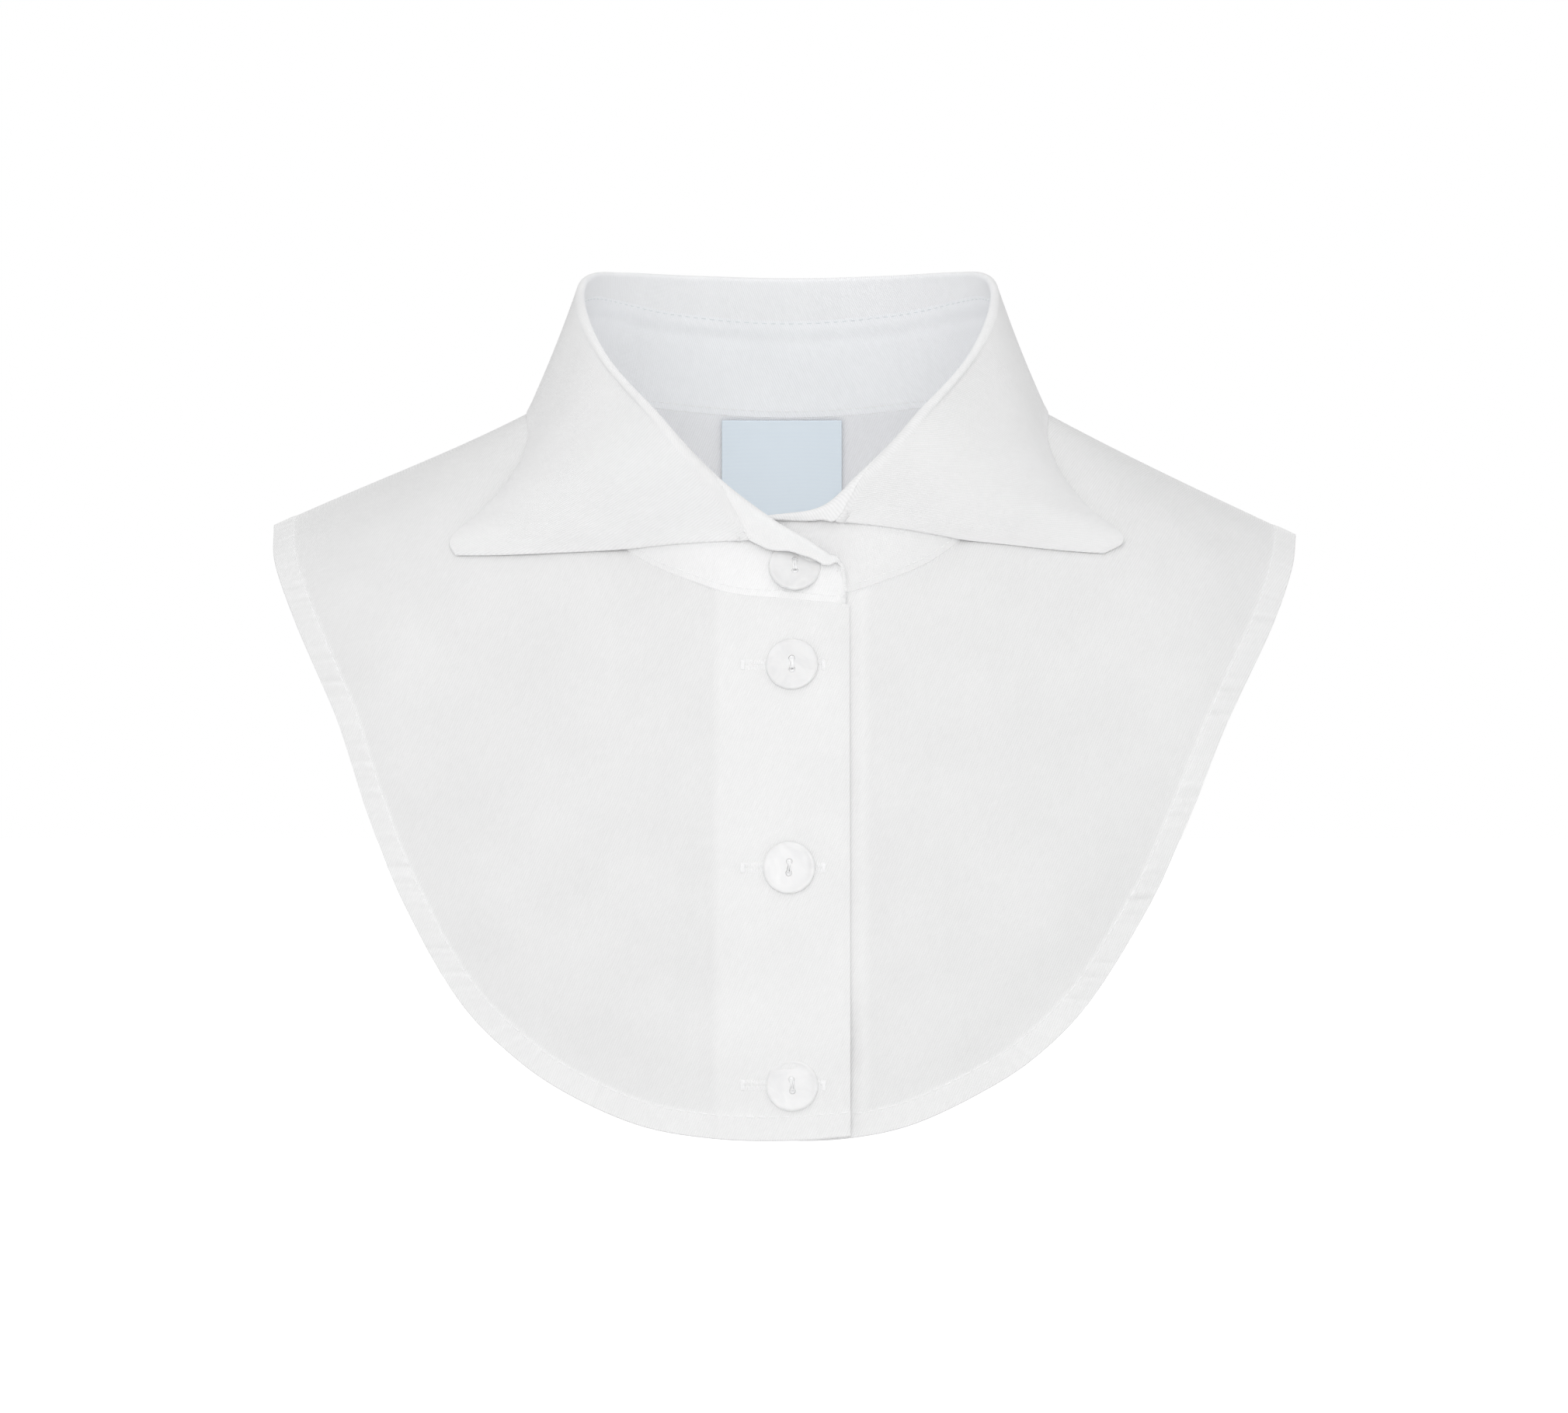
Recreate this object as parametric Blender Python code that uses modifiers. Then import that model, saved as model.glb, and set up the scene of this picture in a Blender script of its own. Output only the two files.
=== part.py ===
"""Detachable shirt collar, filled out as if worn: two overlapping bib fronts with facings, a bib
back, a collar stand, a turned-down collar leaf, four two-hole buttons and a neck label.

The frame has +Z up, +X to the viewer's right and the front facing -Y. The origin is on the neck's
axis, level with the neck seam at the sides. Sizes and tables are in millimetres, and MM turns them
into Blender's metres. "Over" is the wearer's right front, on the viewer's left, which lies on top.
"""

import math

import bmesh
import bpy
import numpy as np
from mathutils import Vector
from mathutils.bvhtree import BVHTree

MM = 0.001

# Cloth
WALL = 1.0
HEM_WALL = 1.7
HEM_WIDTH = 6.4
STAND_WALL = 1.4
LEAF_WALL = 1.5
SEAM_GAP = 0.3
LAYER_GAP = 0.3
COLLAR_SEAM_GAP = 0.6
SEAM_STRIP = 1.5
PANEL_START = 0.6
FACING_START = 1.2

# Closure, as distances from the centre front towards the front's own side
EDGE_PAST_CENTRE = 17.0
FACING_OVER = 19.8
FACING_UNDER = 22.0
UNDER_DEPTH = 3.2
UNDER_DEPTH_FADES = (19.0, 48.0)
OVER_FORWARD = 1.3
OVER_FORWARD_STARTS = (176.0, 190.0)
FAN_STARTS = (0.0, 0.35)

# Neck seam: a round ring, seen from above
NECK_RADIUS = 66.0
NECK_CENTRE_Y = -6.0
SHOULDER_ANGLE = 80.0

# Angles run from 0 at the centre back, by 90 at the side, to 180 at the centre front and past it.
# angle, height of the neck seam, drop of the panel just outside it in degrees
NECK = (
    (0, 2.0, 66),
    (34, 4.3, 62),
    (52, 6.3, 52),
    (70, 6.8, 34),
    (80, 6.0, 28.5),
    (90, 3.5, 30),
    (100, -3.5, 32),
    (110, -12.5, 38),
    (120, -23.0, 44),
    (133, -35.0, 50),
    (143, -41.5, 56),
    (157, -47.5, 64),
    (165, -50.4, 69),
    (180, -52.3, 71),
    (195, -53.8, 69),
)

# Fold: an oval ring, seen from above, along the top of the collar's roll
FOLD_HALF_WIDTH = 57.8
FOLD_FRONT_DEPTH = 64.5
FOLD_BACK_DEPTH = 56.0
FOLD_CENTRE_Y = -4.0

# angle, then for the over side and for the under side: height of the fold, radius of its roll and
# how far it lies behind the ring
FOLD = (
    (0, 40.7, 2.2, 0.0, 40.7, 2.2, 0.0),
    (30, 41.1, 2.2, 0.0, 41.1, 2.2, 0.0),
    (55, 41.2, 2.2, 0.0, 41.2, 2.2, 0.0),
    (70, 40.5, 2.2, 0.0, 40.5, 2.2, 0.0),
    (80, 38.6, 2.2, 0.0, 38.6, 2.2, 0.0),
    (90, 34.8, 2.3, 0.0, 34.8, 2.3, 0.0),
    (100, 29.5, 2.4, 0.0, 29.5, 2.4, 0.0),
    (110, 22.5, 2.5, 0.0, 22.5, 2.5, 0.0),
    (120, 15.0, 2.6, 0.0, 15.0, 2.6, 0.0),
    (130, 8.0, 2.8, 0.0, 8.0, 2.8, 0.0),
    (140, 0.5, 3.0, 0.0, 0.5, 3.0, 0.0),
    (150, -9.0, 3.3, 0.0, -9.0, 3.2, 0.4),
    (160, -18.5, 3.7, 0.0, -18.0, 3.3, 1.8),
    (170, -26.5, 4.0, 0.0, -26.8, 3.2, 4.4),
    (175, -30.0, 4.0, 0.0, -28.4, 2.8, 5.8),
    (182, -33.8, 3.8, -1.2, -29.2, 2.4, 7.0),
    (188, -37.2, 3.1, -3.2, -29.9, 2.0, 7.4),
    (195, -43.0, 2.0, -3.4, -31.2, 1.7, 7.4),
)

# angle, length along the cloth from the top of the roll to the seam between stand and leaf
ATTACH = (
    (0, -14.2, -14.2),
    (35, -12.5, -12.5),
    (60, -9.5, -9.5),
    (90, -7.0, -7.0),
    (120, -4.5, -4.5),
    (145, -2.0, -2.0),
    (155, -0.5, 0.3),
    (162, 2.6, 4.0),
    (167, 7.0, 8.0),
    (171, 11.0, 5.0),
    (180, 8.4, 1.5),
    (188, 5.4, 0.0),
    (195, 1.0, 0.0),
)
STAND_END = 195.0
LEAF_END = {"over": 171.0, "under": 167.0}

# Outer edge of the leaf: share of the way to its lower corner, x, y, height, how far the cloth
# bows out on its way there, and the changes of x and height on the under side
LEAF_EDGE = (
    (0.00, 0.0, 65.4, -4.0, 1.5, 0.0, 0.0),
    (0.15, 30.0, 59.8, -2.5, 1.5, 0.0, 0.0),
    (0.29, 55.0, 43.8, -0.5, 0.5, 0.0, 0.0),
    (0.41, 69.0, 26.2, 1.8, -0.4, 0.0, 0.0),
    (0.53, 73.2, 3.0, 1.7, -0.4, 0.0, 0.0),
    (0.64, 72.6, -17.0, -6.5, -0.4, 0.0, 0.0),
    (0.76, 76.6, -31.4, -17.5, 0.3, 0.0, 0.0),
    (0.88, 84.8, -38.4, -27.5, 1.0, -0.5, 0.2),
    (0.965, 93.9, -43.2, -36.5, 1.5, -0.9, 0.2),
    (1.00, 92.2, -45.8, -39.9, 1.5, -4.4, 0.4),
)
# Past these angles the cloth drops straight down off the roll before it turns to the point
DROP_STARTS = 152.0
DROP = {"over": 5.4, "under": 3.4}
SEAM_LIP = 0.4
LEAF_CLEAR = 0.5

# Hemmed edge of a front from its closing edge to the shoulder: x on the over side, x on the under
# side, y and height, then the direction in which the cloth reaches the edge
FRONT_EDGE = (
    (-17.0, -17.0, -92.3, -198.9, 0.00, -0.04, -1.00),
    (0.0, 0.0, -92.2, -200.1, 0.00, -0.04, -1.00),
    (20.0, 16.0, -91.7, -199.6, 0.03, -0.02, -1.00),
    (40.0, 33.0, -90.0, -196.2, 0.08, 0.00, -1.00),
    (59.3, 51.4, -87.0, -188.0, 0.15, 0.03, -1.00),
    (74.7, 67.7, -83.0, -177.8, 0.22, 0.06, -0.97),
    (90.1, 83.0, -77.5, -162.4, 0.30, 0.10, -0.94),
    (105.3, 99.2, -69.0, -137.0, 0.38, 0.16, -0.90),
    (115.8, 111.1, -60.5, -112.0, 0.45, 0.22, -0.85),
    (124.9, 121.9, -51.0, -86.0, 0.55, 0.26, -0.78),
    (136.9, 134.7, -34.0, -60.5, 0.70, 0.26, -0.66),
    (144.0, 141.6, -16.0, -43.5, 0.84, 0.12, -0.50),
    (145.4, 143.9, 2.0, -33.4, 0.91, 0.00, -0.42),
)

# The same for the back, from its centre to the shoulder, with one x, narrower on the under side
BACK_UNDER_SHARE = 0.99
BACK_EDGE = (
    (0.0, 87.0, -178.0, 0.00, -0.02, -1.00),
    (28.0, 85.5, -175.5, 0.04, -0.03, -1.00),
    (54.0, 81.5, -168.0, 0.12, -0.05, -0.99),
    (80.0, 75.0, -153.0, 0.22, -0.10, -0.96),
    (98.0, 67.5, -134.0, 0.32, -0.15, -0.92),
    (110.5, 59.5, -112.0, 0.42, -0.20, -0.88),
    (121.5, 50.0, -88.0, 0.55, -0.24, -0.80),
    (132.0, 37.0, -64.0, 0.70, -0.22, -0.68),
    (140.0, 20.0, -45.0, 0.84, -0.12, -0.52),
    (145.4, 2.0, -33.4, 0.91, 0.00, -0.42),
)
# How much higher each shoulder's outer corner sits
SHOULDER_LIFT = {"over": 2.7, "under": 0.0}
RAY_START_PULL = 0.34
RAY_END_PULL = 0.36

# Soft folds of a front: places across and down, half width, half length, depth and lean
FRONT_FOLDS = (
    (24.0, -150.0, 5.0, 44.0, -1.4, 0.06),
    (33.0, -150.0, 6.0, 44.0, 0.9, 0.06),
    (62.0, -112.0, 12.0, 46.0, 1.3, 0.35),
    (92.0, -92.0, 12.0, 38.0, -1.2, 0.30),
    (46.0, -78.0, 6.0, 20.0, -0.8, 0.75),
)

# Buttons
BUTTON_DIAMETER = 14.3
BUTTON_THICKNESS = 2.2
BUTTON_HOLE = 1.7
BUTTON_HOLE_SPACING = 3.2
# Half section of a button from the middle of its face, over the rim, to the middle of its back:
# share of the radius and share of the thickness
BUTTON_PROFILE = (
    (0.00, 0.80),
    (0.74, 0.80),
    (0.84, 0.96),
    (0.93, 1.00),
    (1.00, 0.73),
    (0.99, 0.32),
    (0.78, 0.04),
    (0.00, 0.00),
)
# across and height of each button on the over front
FRONT_BUTTONS = (
    (1.2, -70.5),
    (0.4, -126.0),
    (1.2, -185.2),
)
# The stand's button hangs under the roll: the middle of its back, and how far its face looks up
STAND_BUTTON = (2.0, -70.7, -43.4)
STAND_BUTTON_TILT = 22.0

# Label
LABEL_LEFT = -19.2
LABEL_RIGHT = 15.9
LABEL_TOP = 1.2
LABEL_HEIGHT = 40.6
LABEL_WALL = 1.0

# Mesh density
PLACKET_COLUMNS = 6
SIDE_COLUMNS = 16
PANEL_ROWS = 13
BACK_COLUMNS = 12
COLLAR_STEP = 6.6
BUTTON_STEPS = 20
HOLE_SIDES = 12
LABEL_COLUMNS = 6
LABEL_ROWS = 8


def smooth(rows, mirrored=False, turned=()):
    """A smooth function through rows of place and values, constant beyond the first and last.
    Mirrored, it also runs level through the first place, but for the values that are turned."""
    table = np.array(rows, float)
    if mirrored:
        other = table[1] * [-1.0 if column in (0, *turned) else 1.0 for column in range(table.shape[1])]
        table = np.vstack([other, table])
    places = table[:, 0]
    values = table[:, 1:]
    slopes = np.gradient(values, places, axis=0)

    def at(place):
        place = min(max(place, places[0]), places[-1])
        row = min(int(np.searchsorted(places, place, side="right")) - 1, len(places) - 2)
        span = places[row + 1] - places[row]
        t = (place - places[row]) / span
        keep = 1 + t * t * (2 * t - 3)
        leave = t * (1 - t) ** 2 * span
        arrive = t * t * (t - 1) * span
        ends = keep * values[row] + (1 - keep) * values[row + 1]
        return ends + leave * slopes[row] + arrive * slopes[row + 1]

    return at


def ease(value, low, high):
    """0 below low, 1 above high and a soft step between."""
    t = min(max((value - low) / (high - low), 0.0), 1.0)
    return t * t * (3 - 2 * t)


def lengths_along(points):
    """The length run at each point of a line."""
    steps = np.linalg.norm(np.diff(points, axis=0), axis=1)
    return np.concatenate([[0.0], np.cumsum(steps)])


def at_lengths(points, lengths):
    """The points of a line at these lengths from its start."""
    run = lengths_along(points)
    return np.stack([np.interp(lengths, run, points[:, axis]) for axis in range(3)], axis=1)


neck_at = smooth(NECK, mirrored=True)
fold_at = smooth(FOLD, mirrored=True)
attach_at = smooth(ATTACH, mirrored=True)
leaf_edge_at = smooth(LEAF_EDGE, mirrored=True, turned=(1,))


def sign_of(side):
    return -1.0 if side == "over" else 1.0


def under_depth(across):
    """How far the under front lies behind the over front, at a distance from the centre front."""
    return UNDER_DEPTH * (1 - ease(across, *UNDER_DEPTH_FADES))


def neck_point(angle, side):
    """A point of the neck seam. The under side passes behind the over side in front."""
    turn = math.radians(angle)
    across = NECK_RADIUS * math.sin(turn)
    y = NECK_CENTRE_Y + NECK_RADIUS * math.cos(turn)
    if side == "over":
        y -= OVER_FORWARD * ease(angle, *OVER_FORWARD_STARTS)
    elif angle > 90:
        y += under_depth(across)
    return np.array([sign_of(side) * across, y, neck_at(angle)[0]])


def fold_frame(angle, side):
    """The top of the roll, the level direction out of the ring there, and the roll's radius."""
    turn = math.radians(angle)
    depth = FOLD_FRONT_DEPTH if angle > 90 else FOLD_BACK_DEPTH
    across = FOLD_HALF_WIDTH * math.sin(turn)
    y = FOLD_CENTRE_Y + depth * math.cos(turn)
    row = fold_at(angle)
    height, radius, behind = row[:3] if side == "over" else row[3:]
    y += behind
    top = np.array([sign_of(side) * across, y, height])
    out = np.array([sign_of(side) * math.sin(turn), math.cos(turn), 0.0])
    return top, out, radius


def neck_angle_under_fold(angle):
    """The neck seam's angle below a place on the fold: the two line up in front view."""
    return angle - 0.12 * (angle - 180) * ease(angle, 110, 150)


def leaf_edge_point(share, side):
    x, y, height, bow, x_change, height_change = leaf_edge_at(share)
    if side == "under":
        x += x_change
        height += height_change
    return np.array([sign_of(side) * x, y, height]), bow


def collar_section(angle, side):
    """The middle line of the collar's cloth at an angle, from the neck seam up, over the roll and
    down to the leaf's edge, with the length run at the top of the roll."""
    neck = neck_point(neck_angle_under_fold(angle), side)
    top, out, radius = fold_frame(angle, side)
    up = np.array([0.0, 0.0, 1.0])
    centre = top - radius * up
    inner = centre - radius * out
    stand = [neck + (inner - neck) * share for share in np.linspace(0, 1, 8)]
    turns = np.radians(np.linspace(180, 0, 13))[1:]
    roll = [centre + radius * (math.cos(turn) * out + math.sin(turn) * up) for turn in turns]
    edge, bow = leaf_edge_point(min(angle / LEAF_END[side], 1.0), side)
    drop = DROP[side] * ease(angle, DROP_STARTS, LEAF_END[side])
    outer = roll[-1] - drop * up
    leaf = []
    for share in np.linspace(0, 1, 17):
        lift = bow * math.sin(math.pi * share)
        leaf.append(outer + (edge - outer) * share + lift * (out + 0.25 * up))
    points = np.array(stand + roll + leaf)
    run = lengths_along(points)
    return points, run[len(stand) - 1 + len(roll) // 2], run[-1]


def collar_angles(end):
    """Even places along half a ring, from the centre back to an end."""
    steps = int(round(math.radians(end) * NECK_RADIUS / COLLAR_STEP))
    return np.linspace(0, end, steps + 1)


def both_sides(half, ends):
    """The columns of both halves, over side first, sharing the column at the centre back."""
    over = [half(angle, "over") for angle in collar_angles(ends["over"])]
    under = [half(angle, "under") for angle in collar_angles(ends["under"])]
    return np.array(over[::-1] + under[1:])


def stand_column(angle, side):
    points, top, _ = collar_section(angle, side)
    radius = fold_frame(angle, side)[2]
    end = top + attach_at(angle)[0 if side == "over" else 1] - COLLAR_SEAM_GAP / 2
    last = end - SEAM_LIP
    bend = min(top - math.pi * radius / 2, last - 1.5)
    places = [*np.linspace(0, bend, 4), *np.linspace(bend, last, 7)[1:], end]
    return at_lengths(points, np.array(places))


def leaf_column(angle, side):
    points, top, whole = collar_section(angle, side)
    radius = fold_frame(angle, side)[2]
    start = top + attach_at(angle)[0 if side == "over" else 1] + COLLAR_SEAM_GAP / 2
    first = start + SEAM_LIP
    inner = max(top - math.pi * radius / 2, first + 0.8)
    outer = max(top + math.pi * radius / 2, inner + 2.4)
    places = [start, first, *np.linspace(inner, outer, 5), *np.linspace(outer, whole, 9)[1:]]
    return at_lengths(points, np.array(places))


def ray(neck, neck_direction, edge, edge_direction):
    """A smooth line over the body from the neck seam to a panel's edge."""
    reach = np.linalg.norm(edge - neck)
    first = neck + neck_direction * RAY_START_PULL * reach
    second = edge - edge_direction / np.linalg.norm(edge_direction) * RAY_END_PULL * reach
    t = np.linspace(0, 1, 33)[:, None]
    return (
        (1 - t) ** 3 * neck
        + 3 * (1 - t) ** 2 * t * first
        + 3 * (1 - t) * t * t * second
        + t**3 * edge
    )


def panel_column(line):
    """A panel's points down one ray, with a row at each side of the hem's inner edge."""
    whole = lengths_along(line)[-1]
    hem = whole - HEM_WIDTH
    body = np.linspace(PANEL_START, hem - 0.5, PANEL_ROWS)
    return at_lengths(line, np.concatenate([body, [hem, whole - HEM_WIDTH / 2, whole]]))


def leaving(angle, side):
    """The direction in which a panel leaves the neck seam."""
    turn = math.radians(angle)
    drop = math.radians(neck_at(angle)[1])
    flat = math.cos(drop)
    return np.array(
        [sign_of(side) * math.sin(turn) * flat, math.cos(turn) * flat, -math.sin(drop)]
    )


def with_seam_strip(grid, direction):
    """Ends a panel at the shoulder in a narrow strip that is level along Y, so that the walls on
    both sides of the seam stay apart all through their thickness."""
    shoulder = grid[-1]
    strip = shoulder + np.array([0.0, direction * SEAM_STRIP, 0.0])
    seam = shoulder + np.array([0.0, direction * SEAM_GAP / 2, 0.0])
    return np.concatenate([grid[:-1], strip[None], seam[None]])


def edge_line(rows, mirrored=False):
    """A panel's edge as a dense line: three columns of place and three of direction."""
    at = smooth([(place, *row) for place, row in enumerate(rows)], mirrored, turned=(1, 4))
    return np.array([at(place) for place in np.linspace(0, len(rows) - 1, 12 * len(rows))])


def edge_at_shares(line, start, shares, side):
    """Rows of an edge line at even shares of the way from a length to its end at the shoulder."""
    run = lengths_along(line[:, :3])
    lengths = start + (run[-1] - start) * np.array(shares)
    rows = np.stack([np.interp(lengths, run, line[:, axis]) for axis in range(6)], axis=1)
    rows[:, 2] += SHOULDER_LIFT[side] * np.array(shares) ** 4
    return rows


def front_grid(side):
    """The outer face of a front: upright columns behind the closing edge, then a fan of rays."""
    x_column = 0 if side == "over" else 1
    rows = [(row[x_column], *row[2:]) for row in FRONT_EDGE]
    line = edge_line(rows)
    run = lengths_along(line[:, :3])
    facing = FACING_OVER if side == "over" else FACING_UNDER
    flip = np.array([sign_of(side), 1.0, 1.0])
    columns = []
    for across in np.linspace(-EDGE_PAST_CENTRE, facing, PLACKET_COLUMNS + 1):
        angle = 180 - math.degrees(math.asin(across / NECK_RADIUS))
        near = np.argmin(np.abs(line[:, 0] - across))
        edge = line[near, :3] * flip
        edge[0] = sign_of(side) * across
        columns.append((angle, edge, line[near, 3:] * flip * [0.0, 1.0, 1.0]))
    facing_length = np.interp(facing, line[:, 0], run)
    facing_angle = 180 - math.degrees(math.asin(facing / NECK_RADIUS))
    shares = np.linspace(0, 1, SIDE_COLUMNS + 1)[1:]
    for share, row in zip(shares, edge_at_shares(line, facing_length, shares, side)):
        angle = facing_angle + (SHOULDER_ANGLE - facing_angle) * share
        columns.append((angle, row[:3] * flip, row[3:] * flip))
    grid = []
    for number, (angle, edge, direction) in enumerate(columns):
        neck = neck_point(angle, side)
        start = leaving(angle, side)
        start[0] *= ease((number - PLACKET_COLUMNS) / SIDE_COLUMNS, *FAN_STARTS)
        if side == "under":
            edge[1] += under_depth(max(edge[0], 0.0))
        grid.append(panel_column(ray(neck, start, edge, direction)))
    grid = fold_cloth(np.array(grid), side)
    return with_seam_strip(grid, -1.0)


def fold_cloth(grid, side):
    """Adds the soft folds to a front, clear of where the fronts overlap."""
    folded = grid.copy()
    for column in range(grid.shape[0]):
        for row in range(grid.shape[1]):
            across = sign_of(side) * grid[column, row, 0]
            height = grid[column, row, 2]
            clear = ease(across, EDGE_PAST_CENTRE, EDGE_PAST_CENTRE + 6.0)
            for place, middle, width, length, depth, lean in FRONT_FOLDS:
                off = (across - place + lean * (height - middle)) / width
                down = (height - middle) / length
                folded[column, row, 1] -= clear * depth * math.exp(-off * off - down * down)
    return folded


def back_grid():
    """The outer face of the back, from the over side's shoulder round to the under side's."""
    line = edge_line(BACK_EDGE, mirrored=True)
    halves = {}
    for side in ("over", "under"):
        flip = np.array([sign_of(side), 1.0, 1.0])
        if side == "under":
            flip[0] *= BACK_UNDER_SHARE
        shares = np.linspace(0, 1, BACK_COLUMNS + 1)
        columns = []
        for share, row in zip(shares, edge_at_shares(line, 0.0, shares, side)):
            angle = SHOULDER_ANGLE * share
            start = neck_point(angle, side)
            path = ray(start, leaving(angle, side), row[:3] * flip, row[3:] * flip)
            columns.append(panel_column(path))
        halves[side] = with_seam_strip(np.array(columns), 1.0)
    return np.concatenate([halves["over"][::-1], halves["under"][1:]])


def grid_normals(grid):
    """Unit normals of a grid of points, pointing to the side its faces show."""
    along = np.gradient(grid, axis=0)
    down = np.gradient(grid, axis=1)
    normals = np.cross(along, down)
    return normals / np.linalg.norm(normals, axis=2, keepdims=True)


def tree_of(grids):
    """A search tree over the outer faces of several grids, in millimetres."""
    points = []
    faces = []
    for grid in grids:
        columns, rows = grid.shape[:2]
        first = len(points)
        points.extend(Vector(point) for point in grid.reshape(-1, 3))
        for column in range(columns - 1):
            for row in range(rows - 1):
                corner = first + column * rows + row
                faces.append((corner, corner + rows, corner + rows + 1, corner + 1))
    return BVHTree.FromPolygons(points, faces)


def raised_over(grid, tree, clearance):
    """The grid with each point at least a clearance outside the faces of the tree."""
    raised = grid.copy()
    for index in np.ndindex(grid.shape[:2]):
        point = Vector(grid[index])
        nearest, normal, _, _ = tree.find_nearest(point)
        lack = clearance - (point - nearest).dot(normal)
        if lack > 0:
            raised[index] = point + normal * lack
    return raised


def face_hit(tree, across, height, direction):
    """Where a line along Y meets the faces of a tree, and the normal there."""
    start = Vector((across, -300.0 * direction, height))
    hit, normal, _, _ = tree.ray_cast(start, Vector((0.0, direction, 0.0)))
    return np.array(hit), np.array(normal)


def new_material(name, colour, roughness):
    material = bpy.data.materials.new(name)
    material.use_nodes = True
    shader = material.node_tree.nodes["Principled BSDF"]
    shader.inputs["Base Color"].default_value = (*colour, 1.0)
    shader.inputs["Roughness"].default_value = roughness
    shader.inputs["Metallic"].default_value = 0.0
    material.diffuse_color = (*colour, 1.0)
    return material


def new_object(name, mesh, collection, material):
    mesh.name = name
    mesh.materials.append(material)
    mesh.shade_smooth()
    mesh.set_sharp_from_angle(angle=math.radians(40))
    made = bpy.data.objects.new(name, mesh)
    collection.objects.link(made)
    return made


def cloth(name, grid, wall, offset, collection, material, hem=False):
    """A cloth piece: an open surface through a grid of points, thickened to a wall. An offset of
    -1 puts the wall inside the surface, and 0 puts it on both sides."""
    columns, rows = grid.shape[:2]
    shape = bmesh.new()
    bmesh.ops.create_grid(shape, x_segments=columns - 1, y_segments=rows - 1, size=0.5)
    hem_layer = shape.verts.layers.deform.verify()
    for vert in shape.verts:
        column = round((vert.co.x + 0.5) * (columns - 1))
        row = round((vert.co.y + 0.5) * (rows - 1))
        vert.co = Vector(grid[column, row]) * MM
        if hem and row >= rows - 3:
            vert[hem_layer][0] = 1.0
    mesh = bpy.data.meshes.new(name)
    shape.to_mesh(mesh)
    shape.free()
    made = new_object(name, mesh, collection, material)
    thicken = made.modifiers.new("Wall", "SOLIDIFY")
    thicken.thickness = wall * MM
    thicken.offset = offset
    thicken.use_even_offset = True
    if hem:
        made.vertex_groups.new(name="Hem")
        thicken.thickness = HEM_WALL * MM
        thicken.vertex_group = "Hem"
        thicken.thickness_vertex_group = wall / HEM_WALL
    return made


def outward(grid, side):
    """The grid in the column order that turns its faces outwards."""
    return grid if side == "over" else grid[::-1]


def facing_grid(front, side):
    """A facing: the front's own points behind the closing edge, moved in behind its wall."""
    strip = front[: PLACKET_COLUMNS + 1, :PANEL_ROWS].copy()
    for column in strip:
        down = column[1] - column[0]
        column[0] += down / np.linalg.norm(down) * (FACING_START - PANEL_START)
    turned = outward(strip, side)
    return turned - grid_normals(turned) * (WALL + LAYER_GAP)


def label_grid(tree):
    """The label: points of the back's inner face, moved in towards the neck."""
    columns = []
    for across in np.linspace(LABEL_RIGHT, LABEL_LEFT, LABEL_COLUMNS + 1):
        column = []
        for height in np.linspace(LABEL_TOP, LABEL_TOP - LABEL_HEIGHT, LABEL_ROWS + 1):
            point, normal = face_hit(tree, across, height, -1.0)
            column.append(point - normal * (WALL + LAYER_GAP))
        columns.append(column)
    return np.array(columns)


def button_profile(name):
    """Half of a button's section as a line of edges, for turning about Z."""
    points = [
        (share * BUTTON_DIAMETER / 2 * MM, 0.0, rise * BUTTON_THICKNESS * MM)
        for share, rise in BUTTON_PROFILE
    ]
    mesh = bpy.data.meshes.new(name)
    mesh.from_pydata(points, [(i, i + 1) for i in range(len(points) - 1)], [])
    return mesh


def add_drill(name, button, offset, cutters):
    """A cutter for one of a button's holes."""
    bpy.ops.mesh.primitive_cylinder_add(
        vertices=HOLE_SIDES, radius=BUTTON_HOLE / 2 * MM, depth=4 * BUTTON_THICKNESS * MM
    )
    drill = bpy.context.object
    drill.name = name
    for owner in drill.users_collection:
        owner.objects.unlink(drill)
    cutters.objects.link(drill)
    drill.parent = button
    drill.location = (0.0, offset * MM, BUTTON_THICKNESS / 2 * MM)
    drill.hide_render = True
    drill.display_type = "WIRE"
    return drill


def add_button(name, place, looks, collection, material, cutters):
    """A dished two-hole button whose back lies at a place and whose face looks along a direction."""
    mesh = button_profile(name)
    made = bpy.data.objects.new(name, mesh)
    collection.objects.link(made)
    mesh.materials.append(material)
    turn = made.modifiers.new("Turned", "SCREW")
    turn.steps = BUTTON_STEPS
    turn.render_steps = BUTTON_STEPS
    turn.use_merge_vertices = True
    turn.merge_threshold = 0.00001
    turn.use_smooth_shade = True
    made.rotation_mode = "QUATERNION"
    made.rotation_quaternion = Vector(looks).to_track_quat("Z", "Y")
    made.location = Vector(place) * MM
    for number, side in enumerate((-0.5, 0.5), start=1):
        drill = add_drill(f"{name}_drill_{number}", made, side * BUTTON_HOLE_SPACING, cutters)
        cut = made.modifiers.new(f"Hole {number}", "BOOLEAN")
        cut.operation = "DIFFERENCE"
        cut.solver = "EXACT"
        cut.object = drill
    return made


def clear_scene():
    for old in list(bpy.data.objects):
        bpy.data.objects.remove(old, do_unlink=True)


def new_collection(name):
    made = bpy.data.collections.new(name)
    bpy.context.scene.collection.children.link(made)
    return made


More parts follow.
